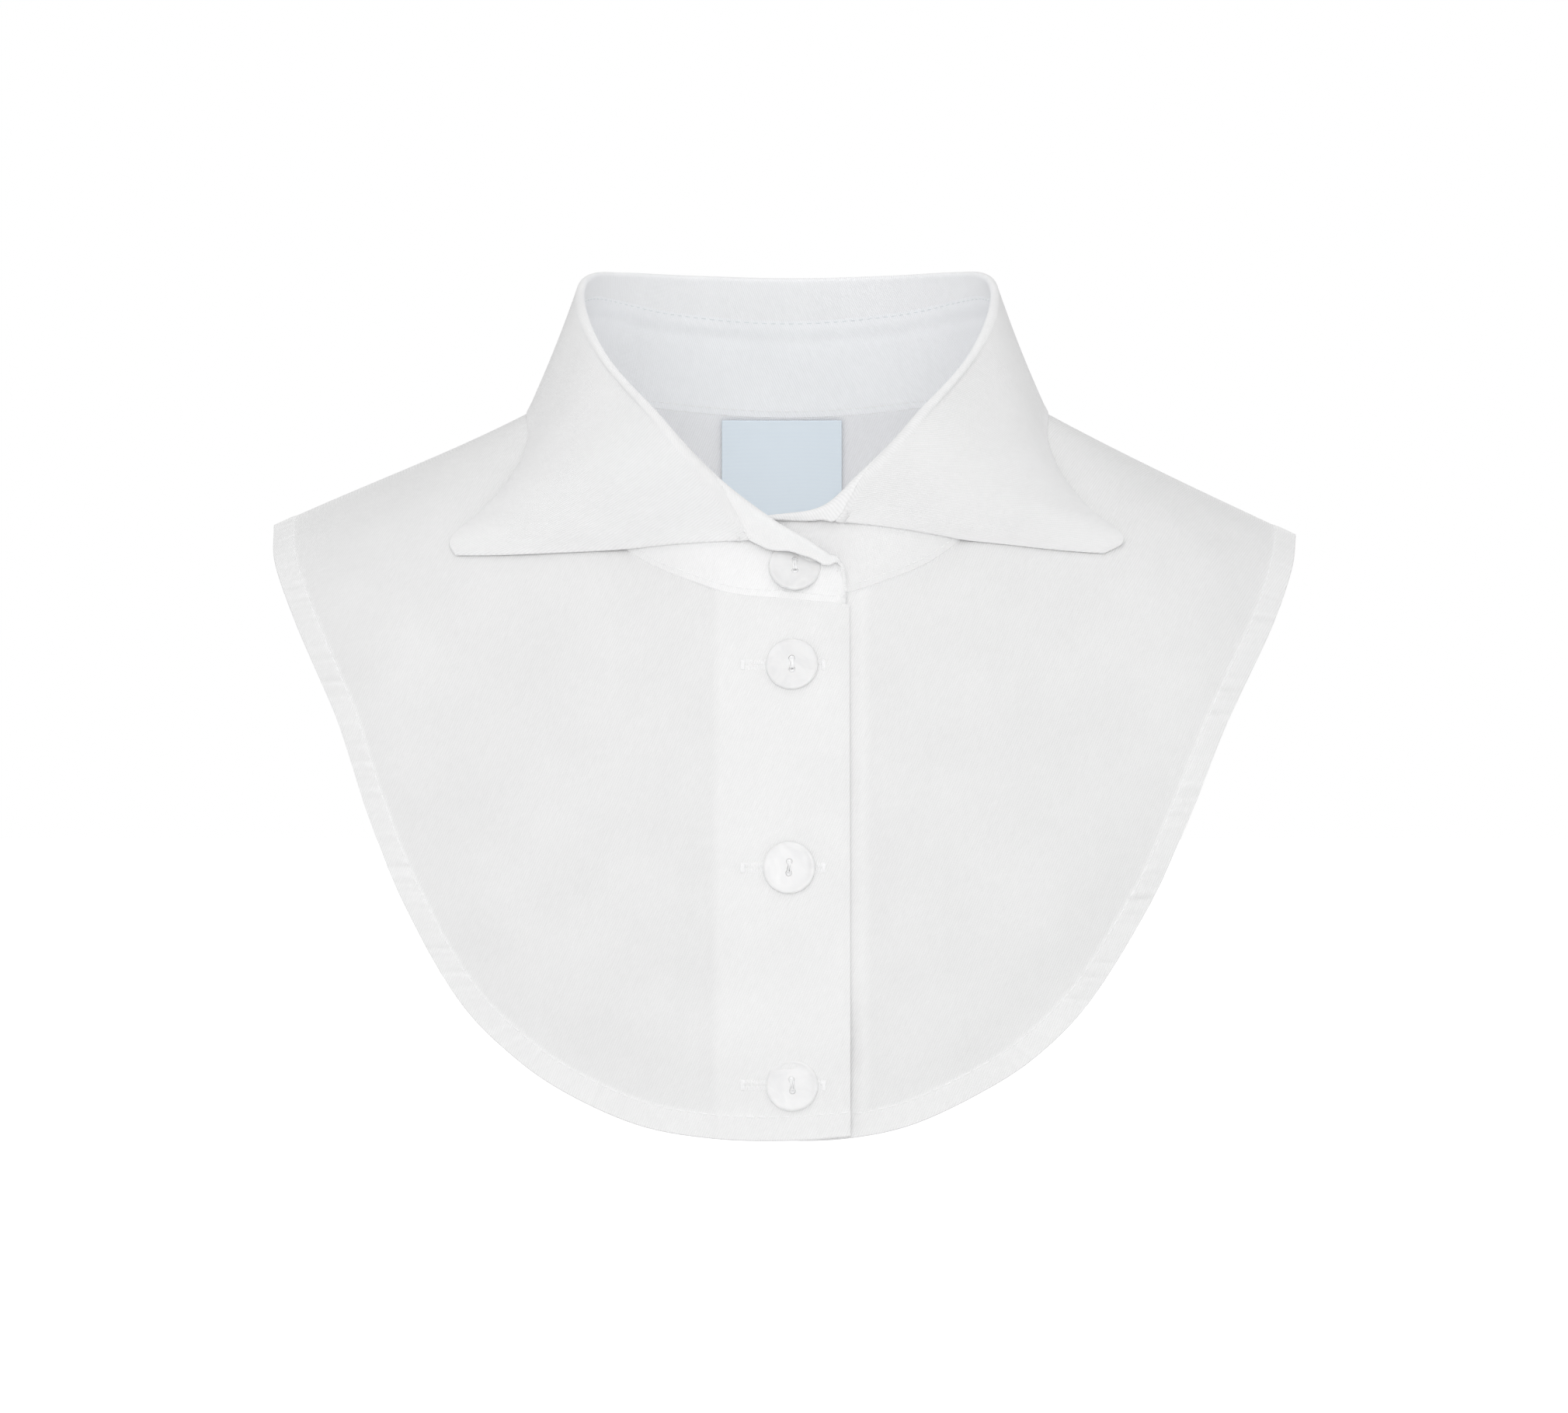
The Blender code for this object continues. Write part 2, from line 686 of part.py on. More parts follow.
def main():
    clear_scene()
    parts = new_collection("Detachable shirt collar")
    cutters = new_collection("Cutters")
    twill = (0.86, 0.87, 0.88)

    fronts = {side: front_grid(side) for side in ("over", "under")}
    back = back_grid()
    names = {"over": "right", "under": "left"}
    for side, name in names.items():
        shown = outward(fronts[side], side)
        material = new_material(f"Front twill {name}", twill, 0.85)
        cloth(f"front_{name}", shown, WALL, -1, parts, material, hem=True)
        material = new_material(f"Facing twill {name}", (0.90, 0.90, 0.91), 0.85)
        cloth(f"facing_{name}", facing_grid(fronts[side], side), WALL, -1, parts, material)
    cloth("back", back, WALL, -1, parts, new_material("Back twill", twill, 0.85), hem=True)

    stand = both_sides(stand_column, {"over": STAND_END, "under": STAND_END})
    material = new_material("Stand twill", (0.89, 0.89, 0.90), 0.85)
    cloth("collar_stand", stand, STAND_WALL, 0, parts, material)

    panels = tree_of([outward(fronts["over"], "over"), outward(fronts["under"], "under"), back])
    leaf = both_sides(leaf_column, LEAF_END)
    leaf = raised_over(leaf, panels, LEAF_WALL / 2 + LEAF_CLEAR)
    material = new_material("Leaf twill", (0.89, 0.89, 0.90), 0.85)
    cloth("collar_leaf", leaf, LEAF_WALL, 0, parts, material)

    over_front = tree_of([outward(fronts["over"], "over")])
    pearl = new_material("Pearly button", (0.88, 0.88, 0.86), 0.25)
    tilt = math.radians(STAND_BUTTON_TILT)
    looks = (0.0, -math.cos(tilt), math.sin(tilt))
    add_button("button_1", STAND_BUTTON, looks, parts, pearl, cutters)
    for number, (across, height) in enumerate(FRONT_BUTTONS, start=2):
        point, normal = face_hit(over_front, across, height, 1.0)
        place = point + normal * LAYER_GAP
        add_button(f"button_{number}", place, normal, parts, pearl, cutters)

    material = new_material("Label satin", (0.66, 0.75, 0.85), 0.5)
    cloth("label", label_grid(tree_of([back])), LABEL_WALL, 1, parts, material)


main()
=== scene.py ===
"""Looks for the detachable shirt collar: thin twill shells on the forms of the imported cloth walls,
with creases, hems, sewing, buttonholes, buttons and label, a studio floor, lights and the camera.

Tables and sizes are in millimetres. "Over" is the wearer's right front, on the viewer's left.
"""

import math
import random

import bmesh
import bpy
import numpy as np
from mathutils import Matrix, Vector
from mathutils.bvhtree import BVHTree


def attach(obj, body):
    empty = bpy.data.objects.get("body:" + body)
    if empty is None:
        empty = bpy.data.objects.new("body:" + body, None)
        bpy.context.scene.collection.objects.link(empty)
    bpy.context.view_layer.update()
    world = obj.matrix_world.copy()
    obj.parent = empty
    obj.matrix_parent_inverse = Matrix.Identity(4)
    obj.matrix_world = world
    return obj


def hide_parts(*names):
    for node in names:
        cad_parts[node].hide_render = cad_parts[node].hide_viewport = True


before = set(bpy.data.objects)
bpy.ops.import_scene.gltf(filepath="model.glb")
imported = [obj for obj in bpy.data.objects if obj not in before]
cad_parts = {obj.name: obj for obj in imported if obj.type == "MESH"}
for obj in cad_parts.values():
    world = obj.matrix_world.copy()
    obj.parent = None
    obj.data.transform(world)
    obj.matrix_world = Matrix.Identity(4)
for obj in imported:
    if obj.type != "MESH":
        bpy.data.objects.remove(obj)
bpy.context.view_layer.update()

MM = 0.001
TAU = 2 * math.pi
random.seed(11)

# Cloth, as it is seen
CLOTH = 0.4
DOUBLE = 0.85
LEAF_CLOTH = 0.8
STAND_CLOTH = 0.85
HEM_WIDTH = 6.8
HEM_STITCH = 6.3
FOLD_ROUND = 0.7
SEAM_GAP = 0.08
COLLAR_SEAM_GAP = 0.12
PANEL_START = 0.2

# Closure
EDGE_PAST_CENTRE = 17.0
FACING_OVER = 19.8
FACING_UNDER = 22.0
FACING_INSET = 0.25
FACING_GAP = 0.06
UNDER_DEPTH = 1.0
UNDER_DEPTH_FADES = (19.0, 48.0)
OVER_FORWARD = 1.3
OVER_FORWARD_STARTS = (176.0, 190.0)
FAN_STARTS = (0.0, 0.35)
EDGE_TURN_STARTS = (0.0, 0.15)

# Neck seam
NECK_RADIUS = 66.0
NECK_CENTRE_Y = -6.0
SHOULDER_ANGLE = 80.0

# angle, height of the neck seam, drop of the panel just outside it in degrees
NECK = (
    (0, 2.0, 66),
    (34, 4.3, 62),
    (52, 6.3, 52),
    (70, 6.8, 34),
    (80, 6.0, 28.5),
    (90, 3.5, 30),
    (100, -3.5, 32),
    (110, -12.5, 38),
    (120, -23.0, 44),
    (133, -35.0, 50),
    (143, -41.5, 56),
    (157, -47.5, 64),
    (165, -50.4, 69),
    (180, -52.3, 71),
    (195, -53.8, 69),
)

# Fold
FOLD_HALF_WIDTH = 58.6
FOLD_FRONT_DEPTH = 65.2
FOLD_BACK_DEPTH = 56.9
FOLD_CENTRE_Y = -4.0

# angle, then for the over side and for the under side: height of the fold, radius of its roll and
# how far it lies behind the ring
FOLD = (
    (0, 41.6, 0.8, 0.0, 41.6, 0.8, 0.0),
    (30, 42.0, 0.8, 0.0, 42.0, 0.8, 0.0),
    (55, 42.1, 0.8, 0.0, 42.1, 0.8, 0.0),
    (70, 41.3, 0.8, 0.0, 41.3, 0.8, 0.0),
    (80, 39.2, 0.8, 0.0, 39.2, 0.8, 0.0),
    (90, 35.2, 0.9, 0.0, 35.2, 0.9, 0.0),
    (100, 29.8, 1.0, 0.0, 29.8, 1.0, 0.0),
    (110, 22.7, 1.2, 0.0, 22.7, 1.2, 0.0),
    (120, 15.1, 1.4, 0.0, 15.1, 1.4, 0.0),
    (130, 8.0, 1.6, 0.0, 8.0, 1.6, 0.0),
    (140, 0.5, 1.9, 0.0, 0.5, 1.9, 0.0),
    (150, -9.0, 2.1, 0.0, -9.0, 1.9, 0.4),
    (160, -18.5, 2.1, 0.0, -18.0, 1.8, 1.8),
    (170, -26.5, 1.9, 0.0, -26.8, 1.4, 4.0),
    (174.7, -29.9, 1.8, 0.0, -28.4, 1.1, 5.2),
    (177.8, -32.1, 1.7, -0.5, -28.8, 0.9, 5.8),
    (181.6, -34.2, 1.6, -1.2, -29.2, 0.8, 6.2),
    (185.2, -36.3, 1.5, -2.3, -29.6, 0.7, 6.4),
    (187.9, -38.2, 1.3, -3.0, -29.9, 0.7, 6.6),
    (191.1, -40.4, 1.05, -3.3, -30.4, 0.7, 6.6),
    (193.7, -41.9, 0.9, -3.4, -30.9, 0.9, 6.6),
    (195.1, -45.3, 0.7, -3.4, -31.1, 0.9, 6.6),
    (195.7, -49.8, 0.6, -3.4, -31.2, 0.9, 6.6),
)

# angle, length along the cloth from the top of the roll to the seam between stand and leaf
ATTACH = (
    (0, -12.6, -12.6),
    (35, -10.7, -10.7),
    (60, -7.6, -7.6),
    (90, -5.8, -5.8),
    (120, -4.5, -4.5),
    (145, -2.0, -2.0),
    (155, -0.8, 0.0),
    (162, 1.6, 2.8),
    (167, 6.4, 6.6),
    (171, 11.0, 3.8),
    (172.8, 10.5, 3.3),
    (176, 9.0, 2.6),
    (180, 6.6, 2.0),
    (184, 5.6, 1.2),
    (187, 4.6, 0.3),
    (189.6, 4.2, -0.3),
    (192, 2.4, -0.5),
    (193.7, 1.2, -0.5),
    (195.7, 0.4, -0.5),
)
STAND_END = 195.7
LEAF_END = {"over": 171.0, "under": 167.0}

# Outer edge of the leaf: share of the way to its lower corner, x, y, height, how far the cloth
# bows out on its way there, and the changes of x and height on the under side
LEAF_EDGE = (
    (0.00, 0.0, 64.0, -4.0, 1.5, 0.0, 0.0),
    (0.15, 30.0, 57.5, -2.5, 1.5, 0.0, 0.0),
    (0.29, 55.0, 41.5, -0.5, 0.5, 0.0, 0.0),
    (0.41, 69.0, 25.0, 1.8, -0.4, 0.0, 0.0),
    (0.53, 73.2, 3.0, 1.7, -0.4, 0.0, 0.0),
    (0.64, 72.6, -17.0, -6.5, -0.4, 0.0, 0.0),
    (0.76, 76.7, -29.8, -17.5, 0.3, 0.0, 0.0),
    (0.88, 84.9, -35.5, -27.5, 0.4, -0.5, 0.2),
    (0.965, 94.0, -40.2, -36.6, -0.8, -0.9, 0.2),
    (1.00, 92.3, -42.8, -40.0, -2.6, -4.4, 0.4),
)
DROP_STARTS = 152.0
DROP = {"over": 6.8, "under": 4.7}
LEAF_CLEAR = 0.3
RAISE_SOFTENING = 8

# Hemmed edge of a front: x on the over side, x on the under side, y and height, then the
# direction in which the cloth reaches the edge
FRONT_EDGE = (
    (-17.0, -17.0, -92.3, -198.9, 0.00, -0.04, -1.00),
    (0.0, 0.0, -92.2, -200.1, 0.00, -0.04, -1.00),
    (20.0, 16.0, -91.7, -199.6, 0.03, -0.02, -1.00),
    (40.0, 33.0, -90.0, -196.2, 0.08, 0.00, -1.00),
    (59.3, 51.4, -87.0, -188.0, 0.15, 0.03, -1.00),
    (74.7, 67.7, -83.0, -177.8, 0.22, 0.06, -0.97),
    (90.1, 83.0, -77.5, -162.4, 0.30, 0.10, -0.94),
    (105.3, 99.2, -69.0, -137.0, 0.38, 0.16, -0.90),
    (115.8, 111.1, -60.5, -112.0, 0.45, 0.22, -0.85),
    (124.9, 121.9, -51.0, -86.0, 0.55, 0.26, -0.78),
    (136.9, 134.7, -34.0, -60.5, 0.70, 0.26, -0.66),
    (144.0, 141.6, -16.0, -43.5, 0.84, 0.12, -0.50),
    (145.4, 143.9, 2.0, -33.4, 0.91, 0.00, -0.42),
)

# The same for the back, with one x, narrower on the under side
BACK_UNDER_SHARE = 0.99
BACK_EDGE = (
    (0.0, 87.0, -178.0, 0.00, -0.02, -1.00),
    (28.0, 85.5, -175.5, 0.04, -0.03, -1.00),
    (54.0, 81.5, -168.0, 0.12, -0.05, -0.99),
    (80.0, 75.0, -153.0, 0.22, -0.10, -0.96),
    (98.0, 67.5, -134.0, 0.32, -0.15, -0.92),
    (110.5, 59.5, -112.0, 0.42, -0.20, -0.88),
    (121.5, 50.0, -88.0, 0.55, -0.24, -0.80),
    (132.0, 37.0, -64.0, 0.70, -0.22, -0.68),
    (140.0, 20.0, -45.0, 0.84, -0.12, -0.52),
    (145.4, 2.0, -33.4, 0.91, 0.00, -0.42),
)
SHOULDER_LIFT = {"over": 2.7, "under": 0.0}
RAY_START_PULL = 0.34
RAY_END_PULL = 0.36

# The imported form's soft folds: places across and down, half width, half length, depth and lean
FRONT_FOLDS = (
    (24.0, -150.0, 5.0, 44.0, -0.7, 0.06),
    (33.0, -150.0, 7.0, 44.0, 0.6, 0.06),
    (62.0, -112.0, 13.0, 46.0, 1.0, 0.35),
    (92.0, -92.0, 13.0, 38.0, -0.9, 0.30),
    (46.0, -78.0, 8.0, 20.0, -0.4, 0.75),
)

# Creases placed on each panel, as troughs (rise below 0) and ridges: x, height, turn of
# the crease's length from level in degrees, half length, half width, rise
CREASES = {
    "front_right": (
        (-26.0, -170.0, 92, 34.0, 4.5, -0.50),
        (-36.0, -160.0, 84, 30.0, 6.0, 0.40),
        (-28.0, -74.0, 52, 15.0, 3.0, -0.45),
        (-38.0, -80.0, 48, 18.0, 4.0, 0.40),
        (-52.0, -92.0, 46, 24.0, 6.0, -0.40),
        (-76.0, -112.0, 60, 30.0, 9.0, 0.45),
        (-97.0, -128.0, 66, 22.0, 7.0, -0.40),
        (-62.0, -168.0, 120, 22.0, 8.0, -0.35),
        (-105.0, -72.0, 30, 24.0, 7.0, -0.35),
        (-84.0, -60.0, 20, 22.0, 6.0, 0.30),
        (-2.0, -98.0, 96, 16.0, 6.0, -0.22),
        (6.0, -158.0, 84, 18.0, 6.0, -0.22),
        (-10.0, -150.0, 90, 22.0, 5.0, 0.20),
        (-12.0, -74.0, 8, 9.0, 2.6, -0.22),
        (-12.0, -190.0, 12, 9.0, 2.4, -0.28),
        (-12.0, -130.0, 168, 8.0, 2.2, -0.25),
    ),
    "front_left": (
        (31.0, -166.0, 88, 30.0, 4.5, -0.45),
        (42.0, -150.0, 96, 34.0, 6.0, 0.40),
        (54.0, -128.0, 104, 30.0, 7.0, -0.35),
        (35.0, -82.0, 128, 18.0, 4.0, -0.45),
        (46.0, -88.0, 132, 20.0, 4.5, 0.40),
        (76.0, -106.0, 118, 30.0, 8.0, -0.40),
        (96.0, -120.0, 112, 24.0, 7.0, 0.35),
        (66.0, -172.0, 58, 22.0, 8.0, -0.35),
        (104.0, -70.0, 150, 24.0, 7.0, 0.30),
        (88.0, -58.0, 160, 20.0, 6.0, -0.30),
    ),
    "back": (
        (-20.0, -60.0, 100, 34.0, 7.0, -0.45),
        (8.0, -110.0, 88, 44.0, 9.0, 0.40),
        (40.0, -70.0, 70, 36.0, 8.0, -0.45),
        (-58.0, -100.0, 66, 34.0, 8.0, 0.45),
        (-84.0, -84.0, 58, 26.0, 7.0, -0.40),
        (72.0, -104.0, 118, 30.0, 8.0, 0.40),
        (96.0, -76.0, 128, 26.0, 7.0, -0.40),
        (30.0, -150.0, 100, 18.0, 8.0, -0.30),
        (-44.0, -150.0, 80, 16.0, 7.0, -0.30),
    ),
}

# Soft dents and swells of the leaf: angle (below 0 on the over side), share of the way down,
# half widths of both, rise
LEAF_CREASES = (
    (-128, 0.42, 15, 0.34, -1.3),
    (-150, 0.62, 12, 0.30, 0.6),
    (-100, 0.60, 10, 0.40, 0.7),
    (-112, 0.85, 12, 0.18, -0.3),
    (128, 0.44, 15, 0.34, -1.3),
    (150, 0.60, 12, 0.32, 0.5),
    (104, 0.58, 10, 0.40, 0.6),
    (116, 0.86, 12, 0.16, -0.3),
    (-62, 0.50, 14, 0.40, -0.5),
    (-20, 0.55, 16, 0.45, 0.4),
    (24, 0.50, 15, 0.40, -0.4),
    (64, 0.52, 15, 0.40, 0.4),
)

# Fine folds across the under stand below the opening: their line's x and height, then for each
# fold its place above the line and its depth, below 0 for the wider swell that they cross
STAND_FOLD_LINE = ((1.5, -34.0), (6.6, -34.6), (11.9, -31.9), (16.0, -30.6))
STAND_FOLDS = ((0.0, 0.5), (1.3, 0.3), (0.6, -0.7))
STAND_FOLD_HALF_WIDTH = 0.7
STAND_SWELL_HALF_WIDTH = 2.6

# Buttons: x, height on the over front, turn of the holes in degrees
BUTTON_DIAMETER = 14.3
BUTTON_THICKNESS = 1.0
BUTTON_HOLE = 1.7
BUTTON_OFF_CLOTH = 0.18
BUTTON_HOLE_SPACING = 3.2
FRONT_BUTTONS = (
    (1.2, -70.5, 2.0),
    (0.4, -126.0, -3.0),
    (1.2, -185.2, 5.0),
)
STAND_BUTTON = (2.0, -70.7, -43.4)
STAND_BUTTON_TILT = 22.0
# Half section: share of the radius, share of the thickness
BUTTON_PROFILE = (
    (0.00, 0.84),
    (0.30, 0.843),
    (0.56, 0.855),
    (0.70, 0.88),
    (0.78, 0.91),
    (0.83, 0.95),
    (0.87, 0.985),
    (0.91, 1.00),
    (0.95, 0.98),
    (0.98, 0.91),
    (0.995, 0.80),
    (1.00, 0.66),
    (1.00, 0.40),
    (1.00, 0.14),
    (0.985, 0.04),
    (0.96, 0.00),
    (0.00, 0.00),
)

# Buttonholes: left end, right end
BUTTONHOLE_LEFT = -12.1
BUTTONHOLE_RIGHT = 9.6
BUTTONHOLE_HALF = 1.45

# Label
LABEL_LEFT = -19.2
LABEL_RIGHT = 15.9
LABEL_TOP = 1.4
LABEL_HEIGHT = 41.0

# Flat sizes of the cloth that shows: width and length, from the shells unrolled
FLAT_FRONT = (179.0, 240.0)
FLAT_FACING_LENGTH = 139.0
FLAT_BACK = (324.0, 214.0)
FLAT_STAND = (460.0, 44.0)
FLAT_LEAF = (347.0, 161.0)
FLAT_LABEL = (35.2, 44.2)

# Mesh density
PLACKET_COLUMNS = 30
SIDE_COLUMNS = 420
BODY_ROWS = 54
HEM_ROWS = 20
HEM_REACH = 11.5
BACK_COLUMNS = 300
COLLAR_COLUMNS = 130
SECTION_POINTS = 161
END_COLUMNS = 24
END_ANGLES = 5.0
STAND_ROWS = 44
ROLL_ROWS = 26
LEAF_FREE_ROW = 30

# Studio: light from all around, the floor's own glow, and soft lights: name, place, size, power
SKY_LIGHT = 0.485
SKY_RISE = 0.20
FLOOR_GLOW = 0.8
LIGHTS = (
    ("key", (-0.4, -2.1, 1.2), 1.6, 10.2),
    ("front", (0.1, -2.6, 0.1), 1.2, 11.5),
    ("left", (-2.2, -0.9, -0.2), 1.4, 6.5),
    ("right", (2.2, -0.9, -0.2), 1.4, 8.0),
    ("top", (0.0, -0.5, 2.3), 1.6, 7.0),
)

# Sewing
HEM_SEEDS = {"over": 5, "under": 9, "back": 17}
END_STITCH = 1.5
STITCH = 2.7
STITCH_GAP = 0.5
THREAD = 0.17


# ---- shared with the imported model's shape ----


def smooth(rows, mirrored=False, turned=()):
    """A smooth function through rows of place and values, constant beyond the first and last.
    Mirrored, it also runs level through the first place, but for the values that are turned."""
    table = np.array(rows, float)
    if mirrored:
        other = table[1] * [-1.0 if column in (0, *turned) else 1.0 for column in range(table.shape[1])]
        table = np.vstack([other, table])
    places = table[:, 0]
    values = table[:, 1:]
    slopes = np.gradient(values, places, axis=0)

    def at(place):
        place = min(max(place, places[0]), places[-1])
        row = min(int(np.searchsorted(places, place, side="right")) - 1, len(places) - 2)
        span = places[row + 1] - places[row]
        t = (place - places[row]) / span
        keep = 1 + t * t * (2 * t - 3)
        leave = t * (1 - t) ** 2 * span
        arrive = t * t * (t - 1) * span
        ends = keep * values[row] + (1 - keep) * values[row + 1]
        return ends + leave * slopes[row] + arrive * slopes[row + 1]

    return at


def ease(value, low, high):
    """0 below low, 1 above high and a soft step between."""
    t = np.clip((value - low) / (high - low), 0.0, 1.0)
    return t * t * (3 - 2 * t)


def lengths_along(points):
    """The length run at each point of a line."""
    steps = np.linalg.norm(np.diff(points, axis=0), axis=1)
    return np.concatenate([[0.0], np.cumsum(steps)])


def at_lengths(points, lengths):
    """The points of a line at these lengths from its start."""
    run = lengths_along(points)
    return np.stack([np.interp(lengths, run, points[:, axis]) for axis in range(3)], axis=1)


neck_at = smooth(NECK, mirrored=True)
fold_at = smooth(FOLD, mirrored=True)
attach_at = smooth(ATTACH, mirrored=True)
leaf_edge_at = smooth(LEAF_EDGE, mirrored=True, turned=(1,))


def sign_of(side):
    return -1.0 if side == "over" else 1.0


def under_depth(across):
    """How far the under front lies behind the over front, at a distance from the centre front."""
    return UNDER_DEPTH * (1 - ease(across, *UNDER_DEPTH_FADES))


def neck_point(angle, side):
    """A point of the neck seam. The under side passes behind the over side in front."""
    turn = math.radians(angle)
    across = NECK_RADIUS * math.sin(turn)
    y = NECK_CENTRE_Y + NECK_RADIUS * math.cos(turn)
    if side == "over":
        y -= OVER_FORWARD * ease(angle, *OVER_FORWARD_STARTS)
    elif angle > 90:
        y += under_depth(across)
    return np.array([sign_of(side) * across, y, neck_at(angle)[0]])


def fold_frame(angle, side):
    """The top of the roll, the level direction out of the ring there, and the roll's radius."""
    turn = math.radians(angle)
    depth = FOLD_FRONT_DEPTH if angle > 90 else FOLD_BACK_DEPTH
    across = FOLD_HALF_WIDTH * math.sin(turn)
    y = FOLD_CENTRE_Y + depth * math.cos(turn)
    row = fold_at(angle)
    height, radius, behind = row[:3] if side == "over" else row[3:]
    y += behind
    top = np.array([sign_of(side) * across, y, height])
    out = np.array([sign_of(side) * math.sin(turn), math.cos(turn), 0.0])
    return top, out, radius


def neck_angle_under_fold(angle):
    """The neck seam's angle below a place on the fold: the two line up in front view."""
    return angle - 0.12 * (angle - 180) * ease(angle, 110, 150)


def leaf_edge_point(share, side):
    x, y, height, bow, x_change, height_change = leaf_edge_at(share)
    if side == "under":
        x += x_change
        height += height_change
    return np.array([sign_of(side) * x, y, height]), bow


def collar_section(angle, side):
    """The middle line of the collar's cloth at an angle, from the neck seam up, over the roll and
    down to the leaf's edge, with the length run at the top of the roll."""
    neck = neck_point(neck_angle_under_fold(angle), side)
    top, out, radius = fold_frame(angle, side)
    up = np.array([0.0, 0.0, 1.0])
    centre = top - radius * up
    inner = centre - radius * out
    stand = [neck + (inner - neck) * share for share in np.linspace(0, 1, 8)]
    turns = np.radians(np.linspace(180, 0, 41))[1:]
    roll = [centre + radius * (math.cos(turn) * out + math.sin(turn) * up) for turn in turns]
    edge, bow = leaf_edge_point(min(angle / LEAF_END[side], 1.0), side)
    drop = DROP[side] * ease(angle, DROP_STARTS, LEAF_END[side])
    outer = roll[-1] - drop * up
    leaf = []
    for share in np.linspace(0, 1, 49):
        lift = bow * math.sin(math.pi * share)
        leaf.append(outer + (edge - outer) * share + lift * (out + 0.25 * up))
    points = np.array(stand + roll + leaf)
    run = lengths_along(points)
    return points, run[len(stand) - 1 + len(roll) // 2], run[-1]


def ray(neck, neck_direction, edge, edge_direction):
    """A smooth line over the body from the neck seam to a panel's edge."""
    reach = np.linalg.norm(edge - neck)
    first = neck + neck_direction * RAY_START_PULL * reach
    second = edge - edge_direction / np.linalg.norm(edge_direction) * RAY_END_PULL * reach
    t = np.linspace(0, 1, SECTION_POINTS)[:, None]
    return (
        (1 - t) ** 3 * neck
        + 3 * (1 - t) ** 2 * t * first
        + 3 * (1 - t) * t * t * second
        + t**3 * edge
    )


def leaving(angle, side):
    """The direction in which a panel leaves the neck seam."""
    turn = math.radians(angle)
    drop = math.radians(neck_at(angle)[1])
    flat = math.cos(drop)
    return np.array(
        [sign_of(side) * math.sin(turn) * flat, math.cos(turn) * flat, -math.sin(drop)]
    )


def edge_line(rows, mirrored=False):
    """A panel's edge as a dense line: three columns of place and three of direction."""
    at = smooth([(place, *row) for place, row in enumerate(rows)], mirrored, turned=(1, 4))
    return np.array([at(place) for place in np.linspace(0, len(rows) - 1, 12 * len(rows))])


def edge_at_shares(line, start, shares, side):
    """Rows of an edge line at even shares of the way from a length to its end at the shoulder."""
    run = lengths_along(line[:, :3])
    lengths = start + (run[-1] - start) * np.array(shares)
    rows = np.stack([np.interp(lengths, run, line[:, axis]) for axis in range(6)], axis=1)
    rows[:, 2] += SHOULDER_LIFT[side] * np.array(shares) ** 4
    return rows


# ---- dense grids ----


def panel_column(line):
    """A panel's points down one ray, closer together over the hem."""
    whole = lengths_along(line)[-1]
    hem = whole - HEM_REACH
    body = np.linspace(PANEL_START, hem, BODY_ROWS)
    return at_lengths(line, np.concatenate([body, np.linspace(hem, whole, HEM_ROWS + 1)[1:]]))


def grid_normals(grid):
    """Unit normals of a grid of points, pointing to the side its faces show."""
    normals = np.cross(np.gradient(grid, axis=0), np.gradient(grid, axis=1))
    return normals / np.maximum(np.linalg.norm(normals, axis=2, keepdims=True), 1e-9)


def outward(grid, side):
    """The grid in the column order that turns its faces outwards."""
    return grid if side == "over" else grid[::-1]


def front_grid(side):
    """The outer face of a front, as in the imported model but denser."""
    x_column = 0 if side == "over" else 1
    line = edge_line([(row[x_column], *row[2:]) for row in FRONT_EDGE])
    run = lengths_along(line[:, :3])
    facing = FACING_OVER if side == "over" else FACING_UNDER
    flip = np.array([sign_of(side), 1.0, 1.0])
    columns = []
    for across in np.linspace(-EDGE_PAST_CENTRE, facing, PLACKET_COLUMNS + 1):
        angle = 180 - math.degrees(math.asin(across / NECK_RADIUS))
        row = np.array([np.interp(across, line[:, 0], line[:, axis]) for axis in range(6)])
        edge = row[:3] * flip
        columns.append((angle, 0.0, edge, row[3:] * flip * [0.0, 1.0, 1.0]))
    facing_length = np.interp(facing, line[:, 0], run)
    facing_angle = 180 - math.degrees(math.asin(facing / NECK_RADIUS))
    shares = np.linspace(0, 1, SIDE_COLUMNS + 1)[1:]
    for share, row in zip(shares, edge_at_shares(line, facing_length, shares, side)):
        angle = facing_angle + (SHOULDER_ANGLE - facing_angle) * share
        turned = [ease(share, *EDGE_TURN_STARTS), 1.0, 1.0]
        columns.append((angle, share, row[:3] * flip, row[3:] * flip * turned))
    grid = []
    for angle, share, edge, direction in columns:
        start = leaving(angle, side)
        start[0] *= ease(share, *FAN_STARTS)
        if side == "under":
            edge[1] += under_depth(max(edge[0], 0.0))
        grid.append(panel_column(ray(neck_point(angle, side), start, edge, direction)))
    grid = np.array(grid)
    across = sign_of(side) * grid[:, :, 0]
    clear = ease(across, EDGE_PAST_CENTRE, EDGE_PAST_CENTRE + 6.0)
    height = grid[:, :, 2].copy()
    for place, middle, width, length, depth, lean in FRONT_FOLDS:
        off = (across - place + lean * (height - middle)) / width
        down = (height - middle) / length
        grid[:, :, 1] -= clear * depth * np.exp(-off * off - down * down)
    grid[-1, :, 1] -= SEAM_GAP / 2
    return grid


